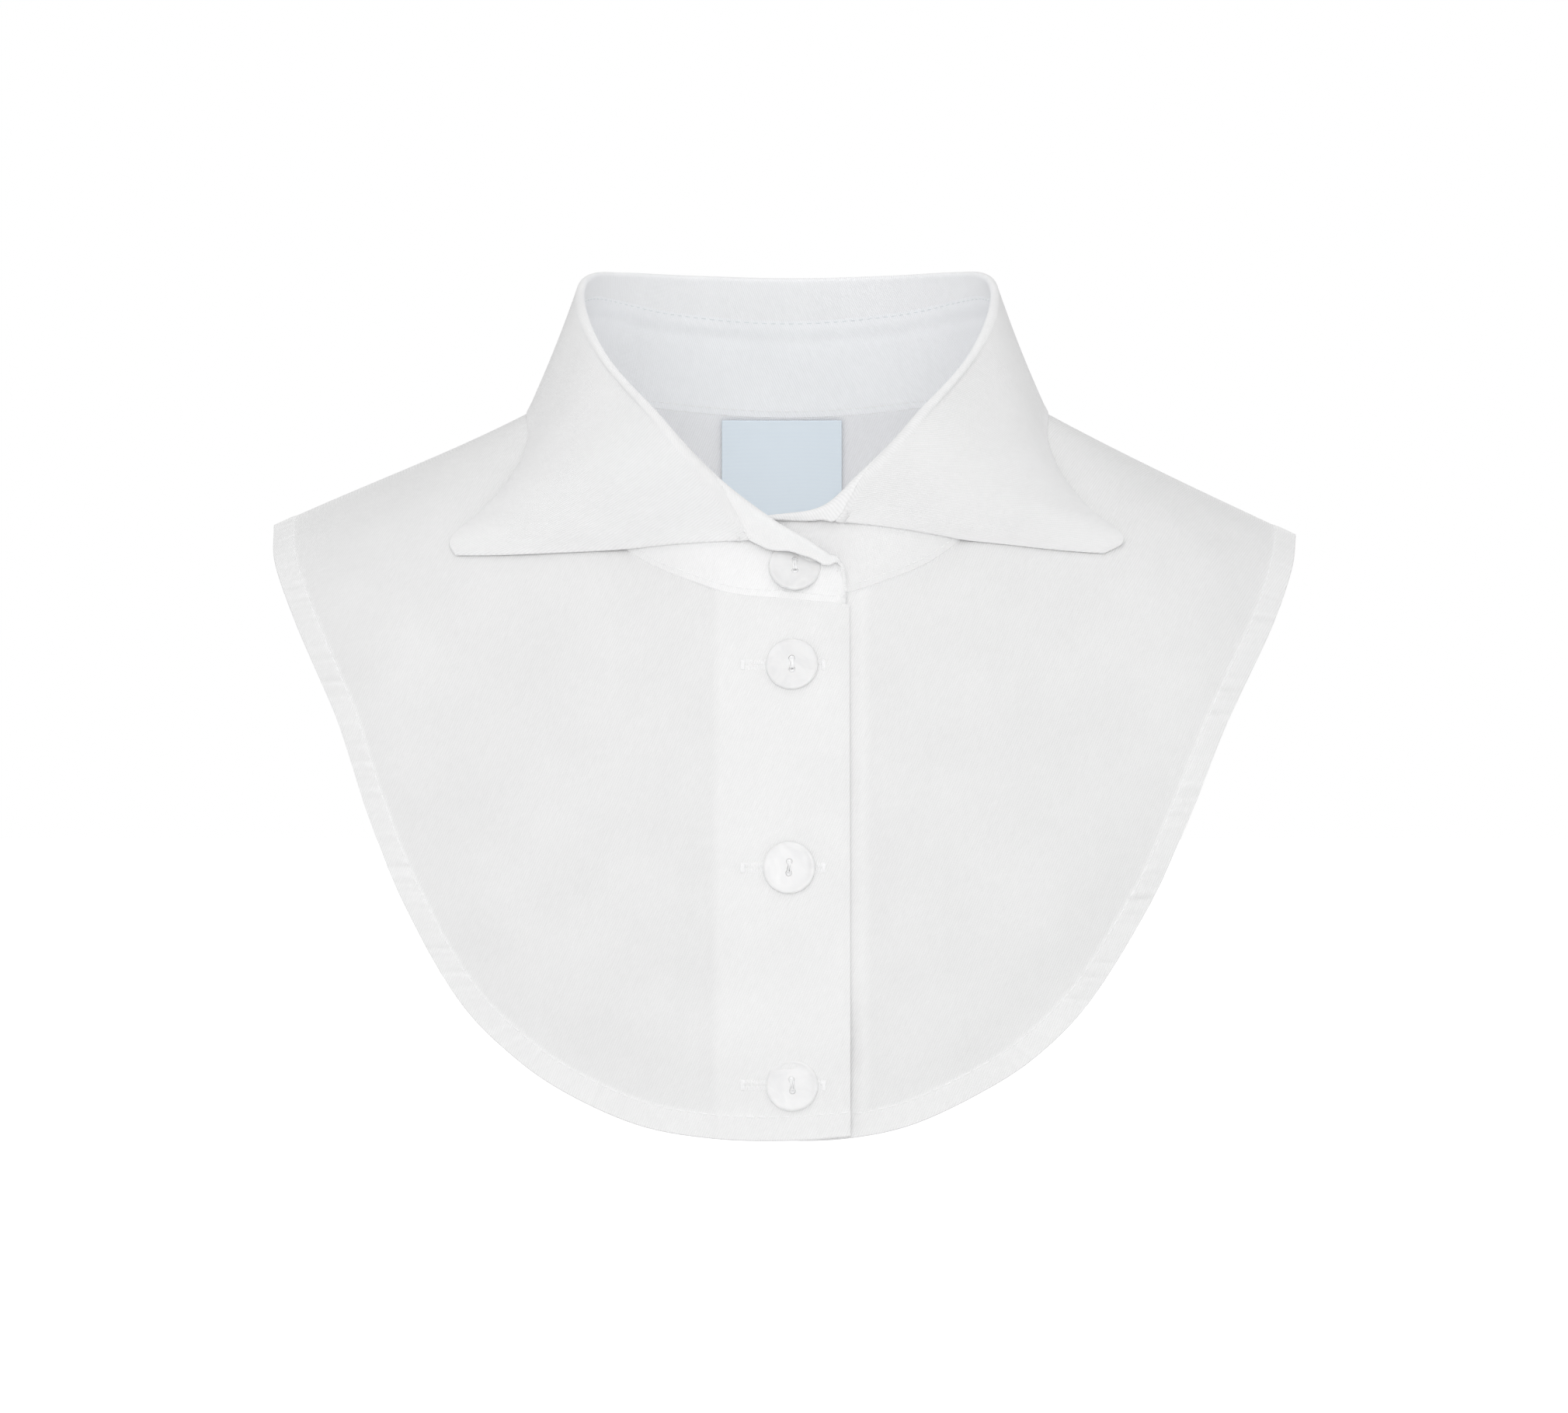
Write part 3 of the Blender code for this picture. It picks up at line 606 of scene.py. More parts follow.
def back_grid():
    """The outer face of the back, from the over side's shoulder round to the under side's."""
    line = edge_line(BACK_EDGE, mirrored=True)
    halves = {}
    for side in ("over", "under"):
        flip = np.array([sign_of(side), 1.0, 1.0])
        if side == "under":
            flip[0] *= BACK_UNDER_SHARE
        shares = np.linspace(0, 1, BACK_COLUMNS + 1)
        columns = []
        for share, row in zip(shares, edge_at_shares(line, 0.0, shares, side)):
            angle = SHOULDER_ANGLE * share
            start = neck_point(angle, side)
            path = ray(start, leaving(angle, side), row[:3] * flip, row[3:] * flip)
            columns.append(panel_column(path))
        columns[-1][:, 1] += SEAM_GAP / 2
        halves[side] = np.array(columns)
    return np.concatenate([halves["over"][::-1], halves["under"][1:]])


def collar_angles(end):
    """Places along half a ring, from the centre back, closer together near its end."""
    even = np.linspace(0, end - END_ANGLES, COLLAR_COLUMNS)
    return np.concatenate([even, np.linspace(end - END_ANGLES, end, END_COLUMNS + 1)[1:]])


def both_sides(half, end_over, end_under):
    """The columns of both halves, over side first, sharing the column at the centre back."""
    over = [half(angle, "over") for angle in collar_angles(end_over)]
    under = [half(angle, "under") for angle in collar_angles(end_under)]
    return np.array(over[::-1] + under[1:])


def both_angles(end_over, end_under):
    """The angles of those columns, below 0 on the over side."""
    return np.concatenate([-collar_angles(end_over)[::-1], collar_angles(end_under)[1:]])[:, None]


def stand_column(angle, side):
    points, top, _ = collar_section(angle, side)
    radius = fold_frame(angle, side)[2]
    end = top + attach_at(angle)[0 if side == "over" else 1] - COLLAR_SEAM_GAP / 2
    bend = min(top - math.pi * radius / 2, end - 2.0)
    wall = np.linspace(0, bend, STAND_ROWS)
    places = [*wall, *np.linspace(bend, end, ROLL_ROWS + 1)[1:]]
    return at_lengths(points, np.array(places))


def leaf_column(angle, side):
    points, top, whole = collar_section(angle, side)
    radius = fold_frame(angle, side)[2]
    start = top + attach_at(angle)[0 if side == "over" else 1] + COLLAR_SEAM_GAP / 2
    inner = max(top - math.pi * radius / 2, start + 0.8)
    outer = max(top + math.pi * radius / 2, inner + 2.4)
    places = [
        *np.linspace(start, inner, 14),
        *np.linspace(inner, outer, LEAF_FREE_ROW - 12)[1:],
        *np.linspace(outer, whole, 49)[1:],
    ]
    return at_lengths(points, np.array(places))


def tree_of(grids):
    """A search tree over the outer faces of several grids, in millimetres."""
    points = []
    faces = []
    for grid in grids:
        columns, rows = grid.shape[:2]
        first = len(points)
        points.extend(Vector(point) for point in grid.reshape(-1, 3))
        for column in range(columns - 1):
            for row in range(rows - 1):
                corner = first + column * rows + row
                faces.append((corner, corner + rows, corner + rows + 1, corner + 1))
    return BVHTree.FromPolygons(points, faces)


def softened(field):
    """A field of vectors on a grid, blurred over its neighbours both ways."""
    for _ in range(RAISE_SOFTENING):
        longer = np.pad(field, ((1, 1), (0, 0), (0, 0)), mode="edge")
        field = (longer[:-2] + 2 * field + longer[2:]) / 4
        wider = np.pad(field, ((0, 0), (1, 1), (0, 0)), mode="edge")
        field = (wider[:, :-2] + 2 * field + wider[:, 2:]) / 4
    return field


def raised_over(grid, tree, clearance):
    """The grid moved a clearance outside the faces of the tree, each point in step with the next."""
    shift = np.zeros(grid.shape)
    for index in np.ndindex(grid.shape[:2]):
        point = Vector(grid[index])
        nearest, normal, _, _ = tree.find_nearest(point)
        lack = clearance - (point - nearest).dot(normal)
        if lack > 0:
            shift[index] = normal * lack
    return grid + softened(shift)


def face_hit(tree, across, height, direction):
    """Where a line along Y meets the faces of a tree, and the normal there."""
    start = Vector((across, -300.0 * direction, height))
    hit, normal, _, _ = tree.ray_cast(start, Vector((0.0, direction, 0.0)))
    return np.array(hit), np.array(normal)


# ---- relief ----


def creases_at(grid, table):
    """The rise of the listed creases at each point of a panel, by its x and height."""
    rise = np.zeros(grid.shape[:2])
    for x, height, turn, length, width, depth in table:
        turn = math.radians(turn)
        right = grid[:, :, 0] - x
        up = grid[:, :, 2] - height
        along = right * math.cos(turn) + up * math.sin(turn)
        off = up * math.cos(turn) - right * math.sin(turn)
        rise += depth * np.exp(-((off / width) ** 2) - (along / length) ** 2)
    return rise


def ripple(lengths, wave, seed):
    """An uneven ripple along a length, between about -1 and 1."""
    draw = random.Random(seed)
    total = np.zeros_like(lengths)
    for share in (0.63, 1.0, 1.57):
        total += np.sin(TAU * lengths / (wave * share) + draw.uniform(0, TAU)) / 2.2
    slow = 0.6 + 0.4 * np.sin(TAU * lengths / (wave * 7.3) + draw.uniform(0, TAU))
    return total * slow


def unit(vectors):
    return vectors / np.maximum(np.linalg.norm(vectors, axis=-1, keepdims=True), 1e-9)


def to_edge(grid):
    """The distance of each point from the line of the last row, measured straight across it."""
    steps = np.linalg.norm(np.diff(grid, axis=1), axis=2)
    run = np.concatenate([np.zeros((grid.shape[0], 1)), np.cumsum(steps, axis=1)], axis=1)
    arriving = unit(grid[:, -1] - grid[:, -4])
    straight = np.linalg.norm(np.cross(arriving, unit(np.gradient(grid[:, -1], axis=0))), axis=1)
    return (run[:, -1:] - run) * straight[:, None]


def hem_puckers(grid, seed):
    """The uneven puckers along a hem, between about -1 and 1: level and strong where it is steep,
    straight across it and weak where it runs level."""
    last = grid[:, -1]
    tangent = unit(np.gradient(last, axis=0))
    slope = tangent[:, 2:]
    steep = ease(np.abs(slope), 0.45, 0.85)
    down = np.sign(slope) / np.maximum(np.abs(slope), 0.3) * np.array([0.0, 0.0, 1.0])
    pull = tangent + (down - tangent) * steep
    run = lengths_along(last)[:, None] + ((grid - last[:, None]) * pull[:, None]).sum(axis=2)
    return ripple(run, 4.2, seed) * (0.35 + 0.65 * steep)


def hem_relief(grid, seed):
    """A hem's double thickness, its stitch groove and the small puckers across it."""
    edge = to_edge(grid)
    run = lengths_along(grid[:, -1])[:, None]
    band = 1 - ease(edge, HEM_WIDTH - 0.5, HEM_WIDTH + 0.5)
    groove = np.exp(-(((edge - HEM_STITCH) / 0.55) ** 2))
    middle = np.exp(-(((edge - 3.6) / 2.2) ** 2))
    beyond = np.exp(-(((edge - 8.0) / 2.2) ** 2)) * ripple(run, 6.5, seed + 1)
    low = 1 - ease(grid[:, :, 2], -150.0, -105.0)
    swell = np.exp(-(((edge - 24.0) / 10.0) ** 2)) * low
    sewn = 0.3 * band - 0.1 * groove + 0.28 * middle * hem_puckers(grid, seed) + 0.05 * beyond
    return sewn + 1.1 * swell


# ---- meshes ----


def weave_place(points, kind):
    """Places for the weave in millimetres: across the cloth and along its grain."""
    if kind == "panel":
        lean = 0.47 * np.maximum(0.0, 50 - np.abs(points[..., 1]))
        return np.stack([points[..., 0], points[..., 2] + lean], axis=-1)
    columns = np.linalg.norm(np.diff(points[:, points.shape[1] // 2], axis=0), axis=1)
    across = np.concatenate([[0.0], np.cumsum(columns)])
    rows = np.linalg.norm(np.diff(points, axis=1), axis=2)
    down = np.concatenate([np.zeros((points.shape[0], 1)), np.cumsum(rows, axis=1)], axis=1)
    return np.stack([np.broadcast_to(across[:, None], down.shape), -down], axis=-1)


def shell(name, outer, thickness, material, kind="panel", layers_and_painted_light=0.0, behind=None, rim=0.4):
    """A closed thin piece on a grid of points: an outer face, an inner face and a rounded rim.
    The two tone arguments choose the tones of its outer and inner faces: lighter for doubled cloth, and painted
    light and shade where the callers set them."""
    columns, rows = outer.shape[:2]
    thickness = np.broadcast_to(thickness, (columns, rows))
    inner = outer - grid_normals(outer) * thickness[:, :, None]
    loop = [(c, 0) for c in range(columns)]
    loop += [(columns - 1, r) for r in range(1, rows)]
    loop += [(c, rows - 1) for c in range(columns - 2, -1, -1)]
    loop += [(0, r) for r in range(rows - 2, 0, -1)]
    middle = []
    for c, r in loop:
        inside = outer[min(max(c, 1), columns - 2), min(max(r, 1), rows - 2)]
        away = outer[c, r] - inside
        away /= np.linalg.norm(away)
        middle.append((outer[c, r] + inner[c, r]) / 2 + away * thickness[c, r] * rim)
    count = columns * rows
    points = np.concatenate([outer.reshape(-1, 3), inner.reshape(-1, 3), np.array(middle)])
    corner = np.arange(count).reshape(columns, rows)
    a, b = corner[:-1, :-1], corner[1:, :-1]
    c, d = corner[1:, 1:], corner[:-1, 1:]
    faces = np.stack([a, b, c, d], axis=-1).reshape(-1, 4)
    faces = [faces, faces[:, ::-1] + count]
    ring = np.array([c * rows + r for c, r in loop])
    after = np.roll(ring, -1)
    mid = 2 * count + np.arange(len(loop))
    mid_after = np.roll(mid, -1)
    faces.append(np.stack([after, ring, mid, mid_after], axis=-1))
    faces.append(np.stack([mid_after, mid, ring + count, after + count], axis=-1))
    faces = np.concatenate(faces)
    mesh = bpy.data.meshes.new(name)
    mesh.from_pydata((points * MM).tolist(), [], faces.tolist())
    weave = weave_place(outer, kind).reshape(-1, 2)
    weave = np.concatenate([weave, weave, weave[ring]])
    weave = np.concatenate([weave, np.zeros((len(weave), 1))], axis=1)
    store = mesh.attributes.new("weave", "FLOAT_VECTOR", "POINT")
    store.data.foreach_set("vector", weave.astype(np.float32).ravel())
    tones = np.broadcast_to(layers_and_painted_light, (columns, rows)).ravel()
    inner_tones = tones if behind is None else np.broadcast_to(behind, (columns, rows)).ravel()
    layers_and_painted_light = np.concatenate([tones, inner_tones, tones[ring]])
    store = mesh.attributes.new("layers_and_painted_light", "FLOAT", "POINT")
    store.data.foreach_set("value", layers_and_painted_light.astype(np.float32))
    return finished(name, mesh, material)


def finished(name, mesh, material, angle=50):
    """An object of a mesh, smooth but for its sharp edges, riding on the model."""
    mesh.materials.append(material)
    mesh.shade_smooth()
    mesh.set_sharp_from_angle(angle=math.radians(angle))
    made = bpy.data.objects.new(name, mesh)
    bpy.context.scene.collection.objects.link(made)
    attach(made, "root")
    return made


def thread_piece(name, paths, radius, material, sides=6, taper=0.55):
    """One mesh of many short lengths of thread, each along a few points, with tapered ends."""
    points = []
    faces = []
    for path in paths:
        path = np.asarray(path, float)
        tangents = np.gradient(path, axis=0)
        tangents /= np.linalg.norm(tangents, axis=1)[:, None]
        helper = np.array([0.0, 0.0, 1.0])
        if abs(tangents[0] @ helper) > 0.8:
            helper = np.array([1.0, 0.0, 0.0])
        first = len(points)
        for number, (point, tangent) in enumerate(zip(path, tangents)):
            across = np.cross(tangent, helper)
            across /= np.linalg.norm(across)
            up = np.cross(across, tangent)
            size = radius * (taper if number in (0, len(path) - 1) else 1.0)
            for k in range(sides):
                turn = TAU * k / sides
                points.append(point + size * (math.cos(turn) * across + math.sin(turn) * up))
        for ring in range(len(path) - 1):
            for k in range(sides):
                a = first + ring * sides + k
                b = first + ring * sides + (k + 1) % sides
                faces.append((a, b, b + sides, a + sides))
        faces.append(tuple(first + k for k in reversed(range(sides))))
        last = first + (len(path) - 1) * sides
        faces.append(tuple(last + k for k in range(sides)))
    mesh = bpy.data.meshes.new(name)
    mesh.from_pydata((np.array(points) * MM).tolist(), [], faces)
    return finished(name, mesh, material, angle=180)


def stitches_along(line, normals, radius=THREAD, length=STITCH, gap=STITCH_GAP, lift=0.5):
    """Short lengths of thread along a line on the cloth, dipping into it at their ends."""
    run = lengths_along(line)
    paths = []
    start = gap
    while start + length < run[-1]:
        places = start + length * np.array([0.0, 0.18, 0.5, 0.82, 1.0])
        on = at_lengths(line, places)
        out = np.stack([np.interp(places, run, normals[:, axis]) for axis in range(3)], axis=1)
        out /= np.linalg.norm(out, axis=1)[:, None]
        rise = radius * np.array([-0.9, lift * 0.7, lift, lift * 0.7, -0.9])
        paths.append(on + out * rise[:, None])
        start += length + gap
    return paths


def row_line(grid, normals, inset):
    """The line on a grid at a distance in from its last row, and the normals there."""
    edge = to_edge(grid)
    line = []
    out = []
    for column in range(grid.shape[0]):
        far = edge[column][::-1]
        points = grid[column][::-1]
        turned = normals[column][::-1]
        line.append([np.interp(inset, far, points[:, axis]) for axis in range(3)])
        out.append([np.interp(inset, far, turned[:, axis]) for axis in range(3)])
    return np.array(line), np.array(out)


# ---- materials ----


def node_material(name):
    material = bpy.data.materials.new(name)
    material.use_nodes = True
    nodes = material.node_tree.nodes
    return material, nodes, material.node_tree.links, nodes["Principled BSDF"]


def twill(name, tones, pitch=0.62, turn=23.0, depth=0.4, mottle=0.07):
    """Fine cotton twill: diagonal wales, uneven yarn, a soft mottle, and tones set by an attribute:
    lighter where the cloth is doubled, with painted light and shade where the pieces set it."""
    material, nodes, links, shader = node_material(name)
    shader.inputs["Roughness"].default_value = 0.88
    shader.inputs["Specular IOR Level"].default_value = 0.18
    shader.inputs["Sheen Weight"].default_value = 0.12
    shader.inputs["Sheen Roughness"].default_value = 0.5
    place = nodes.new("ShaderNodeAttribute")
    place.attribute_name = "weave"
    layers_and_painted_light = nodes.new("ShaderNodeAttribute")
    layers_and_painted_light.attribute_name = "layers_and_painted_light"

    def turned(angle):
        mapping = nodes.new("ShaderNodeMapping")
        mapping.inputs["Rotation"].default_value = (0, 0, math.radians(angle))
        links.new(place.outputs["Vector"], mapping.inputs["Vector"])
        return mapping.outputs["Vector"]

    def waves(angle, period, distortion):
        wave = nodes.new("ShaderNodeTexWave")
        wave.wave_type = "BANDS"
        wave.bands_direction = "X"
        wave.wave_profile = "SIN"
        wave.inputs["Scale"].default_value = 0.31416 / period
        wave.inputs["Distortion"].default_value = distortion
        wave.inputs["Detail"].default_value = 1.0
        wave.inputs["Detail Scale"].default_value = 2.0
        links.new(turned(angle), wave.inputs["Vector"])
        return wave.outputs["Fac"]

    def noise(scale, detail, vector=None):
        grain = nodes.new("ShaderNodeTexNoise")
        grain.inputs["Scale"].default_value = scale
        grain.inputs["Detail"].default_value = detail
        links.new(vector or place.outputs["Vector"], grain.inputs["Vector"])
        return grain.outputs["Fac"]

    def mixed(kind, fac, first, second):
        mix = nodes.new("ShaderNodeMath")
        mix.operation = kind
        for socket, value in zip(mix.inputs, (fac, first, second)):
            if value is None:
                continue
            if isinstance(value, (int, float)):
                socket.default_value = value
            else:
                links.new(value, socket)
        return mix.outputs[0]

    wales = waves(turn, pitch, 0.4)
    yarns = waves(turn - 90, pitch * 0.55, 0.8)
    woven = mixed("MULTIPLY_ADD", yarns, 0.35, wales)
    fuzz = noise(3.2, 2.0)
    height = mixed("MULTIPLY_ADD", fuzz, 0.5, woven)

    blend = nodes.new("ShaderNodeValToRGB")
    steps = blend.color_ramp.elements
    steps[0].color = (*tones[0], 1.0)
    steps[1].color = (*tones[-1], 1.0)
    for number, tone in enumerate(tones[1:-1], start=1):
        steps.new(number / (len(tones) - 1)).color = (*tone, 1.0)
    links.new(layers_and_painted_light.outputs["Fac"], blend.inputs["Fac"])

    patches = mixed("MULTIPLY_ADD", noise(0.4, 2.0), 0.6, noise(0.05, 2.0))
    shade = mixed("MULTIPLY_ADD", patches, mottle, 1.0 - 0.8 * mottle)
    # The weave's colour follows its height too, lighter on the raised yarns: partly the yarn's uneven tone,
    # partly painted shade in the grooves between the wales.
    shade = mixed("MULTIPLY_ADD", height, 0.07, mixed("SUBTRACT", shade, 0.065, None))
    tint = nodes.new("ShaderNodeMix")
    tint.data_type = "RGBA"
    tint.blend_type = "MULTIPLY"
    tint.inputs[0].default_value = 1.0
    links.new(blend.outputs["Color"], tint.inputs[6])
    grey = nodes.new("ShaderNodeCombineColor")
    for socket in grey.inputs[:3]:
        links.new(shade, socket)
    links.new(grey.outputs[0], tint.inputs[7])
    links.new(tint.outputs[2], shader.inputs["Base Color"])

    bump = nodes.new("ShaderNodeBump")
    bump.inputs["Strength"].default_value = depth
    bump.inputs["Distance"].default_value = 0.00012
    links.new(height, bump.inputs["Height"])
    links.new(bump.outputs["Normal"], shader.inputs["Normal"])
    return material


def thread_material(name, colour):
    material, nodes, links, shader = node_material(name)
    shader.inputs["Roughness"].default_value = 0.6
    shader.inputs["Sheen Weight"].default_value = 0.2
    place = nodes.new("ShaderNodeTexCoord")
    grain = nodes.new("ShaderNodeTexNoise")
    grain.inputs["Scale"].default_value = 2600.0
    links.new(place.outputs["Object"], grain.inputs["Vector"])
    ramp = nodes.new("ShaderNodeValToRGB")
    ramp.color_ramp.elements[0].position = 0.3
    ramp.color_ramp.elements[0].color = (*[value * 0.92 for value in colour], 1.0)
    ramp.color_ramp.elements[1].position = 0.7
    ramp.color_ramp.elements[1].color = (*colour, 1.0)
    links.new(grain.outputs["Fac"], ramp.inputs["Fac"])
    links.new(ramp.outputs["Color"], shader.inputs["Base Color"])
    return material


def pearl_material():
    """A moulded pearly button: pale layers that swirl and a glossy face."""
    material, nodes, links, shader = node_material("Pearly button")
    shader.inputs["Roughness"].default_value = 0.26
    shader.inputs["Coat Weight"].default_value = 0.25
    shader.inputs["Coat Roughness"].default_value = 0.12
    shader.inputs["Subsurface Weight"].default_value = 0.15
    shader.inputs["Subsurface Radius"].default_value = (0.0012, 0.0011, 0.001)
    place = nodes.new("ShaderNodeTexCoord")
    swirl = nodes.new("ShaderNodeTexNoise")
    swirl.inputs["Scale"].default_value = 130.0
    swirl.inputs["Detail"].default_value = 3.0
    swirl.inputs["Distortion"].default_value = 2.2
    links.new(place.outputs["Object"], swirl.inputs["Vector"])
    ramp = nodes.new("ShaderNodeValToRGB")
    ramp.color_ramp.elements[0].position = 0.25
    ramp.color_ramp.elements[0].color = (0.74, 0.74, 0.745, 1.0)
    ramp.color_ramp.elements[1].position = 0.75
    ramp.color_ramp.elements[1].color = (0.83, 0.83, 0.83, 1.0)
    links.new(swirl.outputs["Fac"], ramp.inputs["Fac"])
    links.new(ramp.outputs["Color"], shader.inputs["Base Color"])
    bump = nodes.new("ShaderNodeBump")
    bump.inputs["Strength"].default_value = 0.15
    bump.inputs["Distance"].default_value = 0.0002
    links.new(swirl.outputs["Fac"], bump.inputs["Height"])
    links.new(bump.outputs["Normal"], shader.inputs["Normal"])
    return material


def satin_material():
    """Pale blue satin with close fine ribs across."""
    material, nodes, links, shader = node_material("Label satin")
    shader.inputs["Roughness"].default_value = 0.42
    shader.inputs["Sheen Weight"].default_value = 0.15
    place = nodes.new("ShaderNodeAttribute")
    place.attribute_name = "weave"
    wave = nodes.new("ShaderNodeTexWave")
    wave.bands_direction = "Y"
    wave.inputs["Scale"].default_value = 0.31416 / 0.3
    wave.inputs["Distortion"].default_value = 0.6
    links.new(place.outputs["Vector"], wave.inputs["Vector"])
    ramp = nodes.new("ShaderNodeValToRGB")
    ramp.color_ramp.elements[0].color = (0.785, 0.875, 0.97, 1.0)
    ramp.color_ramp.elements[1].color = (0.86, 0.945, 0.99, 1.0)
    links.new(wave.outputs["Fac"], ramp.inputs["Fac"])
    links.new(ramp.outputs["Color"], shader.inputs["Base Color"])
    bump = nodes.new("ShaderNodeBump")
    bump.inputs["Strength"].default_value = 0.25
    bump.inputs["Distance"].default_value = 0.00008
    links.new(wave.outputs["Fac"], bump.inputs["Height"])
    links.new(bump.outputs["Normal"], shader.inputs["Normal"])
    return material


# ---- pieces ----


def declare(node, flat):
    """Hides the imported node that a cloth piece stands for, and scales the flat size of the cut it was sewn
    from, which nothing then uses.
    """
    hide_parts(node)
    flat = (flat[0] * MM, flat[1] * MM)


def placket_relief(grid):
    """The step over the facing behind a front, and the slight fullness beside it."""
    across = -grid[:, :, 0]
    step = 1 - ease(across, FACING_OVER - 1.5, FACING_OVER + 1.5)
    beside = np.exp(-(((across - FACING_OVER - 3.5) / 3.0) ** 2))
    from_fold = np.clip((across + EDGE_PAST_CENTRE) / FOLD_ROUND, 0.0, 1.0)
    rounded = 1 - np.sqrt(1 - (1 - from_fold) ** 2)
    return 0.2 * step - 0.16 * beside - 0.3 * rounded


def build_fronts(cloth, thread):
    raw = {side: front_grid(side) for side in ("over", "under")}
    names = {"over": "right", "under": "left"}
    shown = {}
    for side, name in names.items():
        grid = outward(raw[side], side)
        normals = grid_normals(grid)
        seed = HEM_SEEDS[side]
        rise = creases_at(grid, CREASES[f"front_{name}"]) + hem_relief(grid, seed)
        across = sign_of(side) * grid[:, :, 0]
        facing = FACING_OVER if side == "over" else FACING_UNDER
        if side == "over":
            rise += placket_relief(grid)
        else:
            rise *= ease(across, 15.0, 24.0)
        grid = grid + normals * rise[:, :, None]
        normals = grid_normals(grid)
        edge = to_edge(grid)
        hem = 1 - ease(edge, HEM_WIDTH - 0.4, HEM_WIDTH + 0.4)
        band = 1 - ease(across, facing - 1.4, facing + 1.4)
        # The hem's tone also rises and falls with its puckers: painted light and shade on the puckers, on top
        # of the lighter doubled hem.
        layers_and_painted_light = np.maximum(0.5 * band, hem * (0.58 + 0.42 * hem_puckers(grid, seed)))
        thickness = CLOTH + (DOUBLE - CLOTH) * hem
        piece = shell(f"front_{name}_cloth", grid, thickness, cloth, layers_and_painted_light=layers_and_painted_light)
        declare(f"front_{name}", FLAT_FRONT)
        facing_band(name, raw[side], side, cloth)
        line, out = row_line(grid, normals, HEM_STITCH)
        paths = stitches_along(line, out)
        seam, out = row_line(grid, -normals, HEM_STITCH)
        paths += stitches_along(seam + out * DOUBLE, out)
        sewn = thread_piece(f"front_{name}_hem_stitches", paths, THREAD, thread)
        shown[side] = grid
    return shown


def facing_band(name, front, side, cloth):
    """The facing behind a front's closing edge, from the front's own points."""
    width = FACING_OVER if side == "over" else FACING_UNDER
    strip = front[: PLACKET_COLUMNS + 1, : BODY_ROWS - 1].copy()
    strip[0] += (strip[1] - strip[0]) * FACING_INSET
    turned = outward(strip, side)
    grid = turned - grid_normals(turned) * (CLOTH + FACING_GAP)
    piece = shell(f"facing_{name}_cloth", grid, CLOTH, cloth, layers_and_painted_light=0.5)
    declare(
        f"facing_{name}",
        (width + EDGE_PAST_CENTRE, FLAT_FACING_LENGTH),
    )


def build_back(cloth, thread):
    grid = back_grid()
    rise = creases_at(grid, CREASES["back"]) + hem_relief(grid, HEM_SEEDS["back"])
    grid = grid + grid_normals(grid) * rise[:, :, None]
    normals = grid_normals(grid)
    hem = 1 - ease(to_edge(grid), HEM_WIDTH - 0.4, HEM_WIDTH + 0.4)
    thickness = CLOTH + (DOUBLE - CLOTH) * hem
    # The back's inner face, seen inside the neck, takes the lightest, slightly blue tone: painted light that
    # lifts the shade there.
    piece = shell("back_cloth", grid, thickness, cloth, layers_and_painted_light=0.5 * hem, behind=1.0)
    declare("back", FLAT_BACK)
    line, out = row_line(grid, normals, HEM_STITCH)
    paths = stitches_along(line, out)
    paths += stitches_along(line - out * DOUBLE, -out)
    sewn = thread_piece("back_hem_stitches", paths, THREAD, thread)
    return grid


def stand_relief(stand, angle):
    """The stand's soft ridge and crease below the seam at the back, and the fine folds of its
    under end, which sink into its outer face."""
    from_seam = to_edge(stand)
    back = 1 - ease(np.abs(angle), 85, 115)
    ridge = 0.3 * np.exp(-(((from_seam - 2.6) / 1.7) ** 2))
    crease = 0.3 * np.exp(-(((from_seam - 6.0) / 1.7) ** 2))
    line_x, line_height = np.array(STAND_FOLD_LINE).T
    x, height = stand[:, :, 0], stand[:, :, 2]
    level = np.interp(x, line_x, line_height)
    near = ease(angle, 168, 176) * ease(x, -2.0, 1.5) * (1 - ease(x, 13.0, 17.0))
    folds = np.zeros(stand.shape[:2])
    for above, depth in STAND_FOLDS:
        width = STAND_FOLD_HALF_WIDTH if depth > 0 else STAND_SWELL_HALF_WIDTH
        off = (height - level - above) / width
        folds += depth * np.exp(-off * off)
    wall = 1 - ease(np.arange(stand.shape[1]), STAND_ROWS - 4, STAND_ROWS)
    run = lengths_along(stand[:, 0])[:, None]
    bottom = from_seam[:, :1] - from_seam
    gather = np.exp(-(((bottom - 0.6) / 1.3) ** 2)) * ripple(run, 4.4, 31)
    return back * (ridge - crease) + near * folds * wall + 0.14 * gather


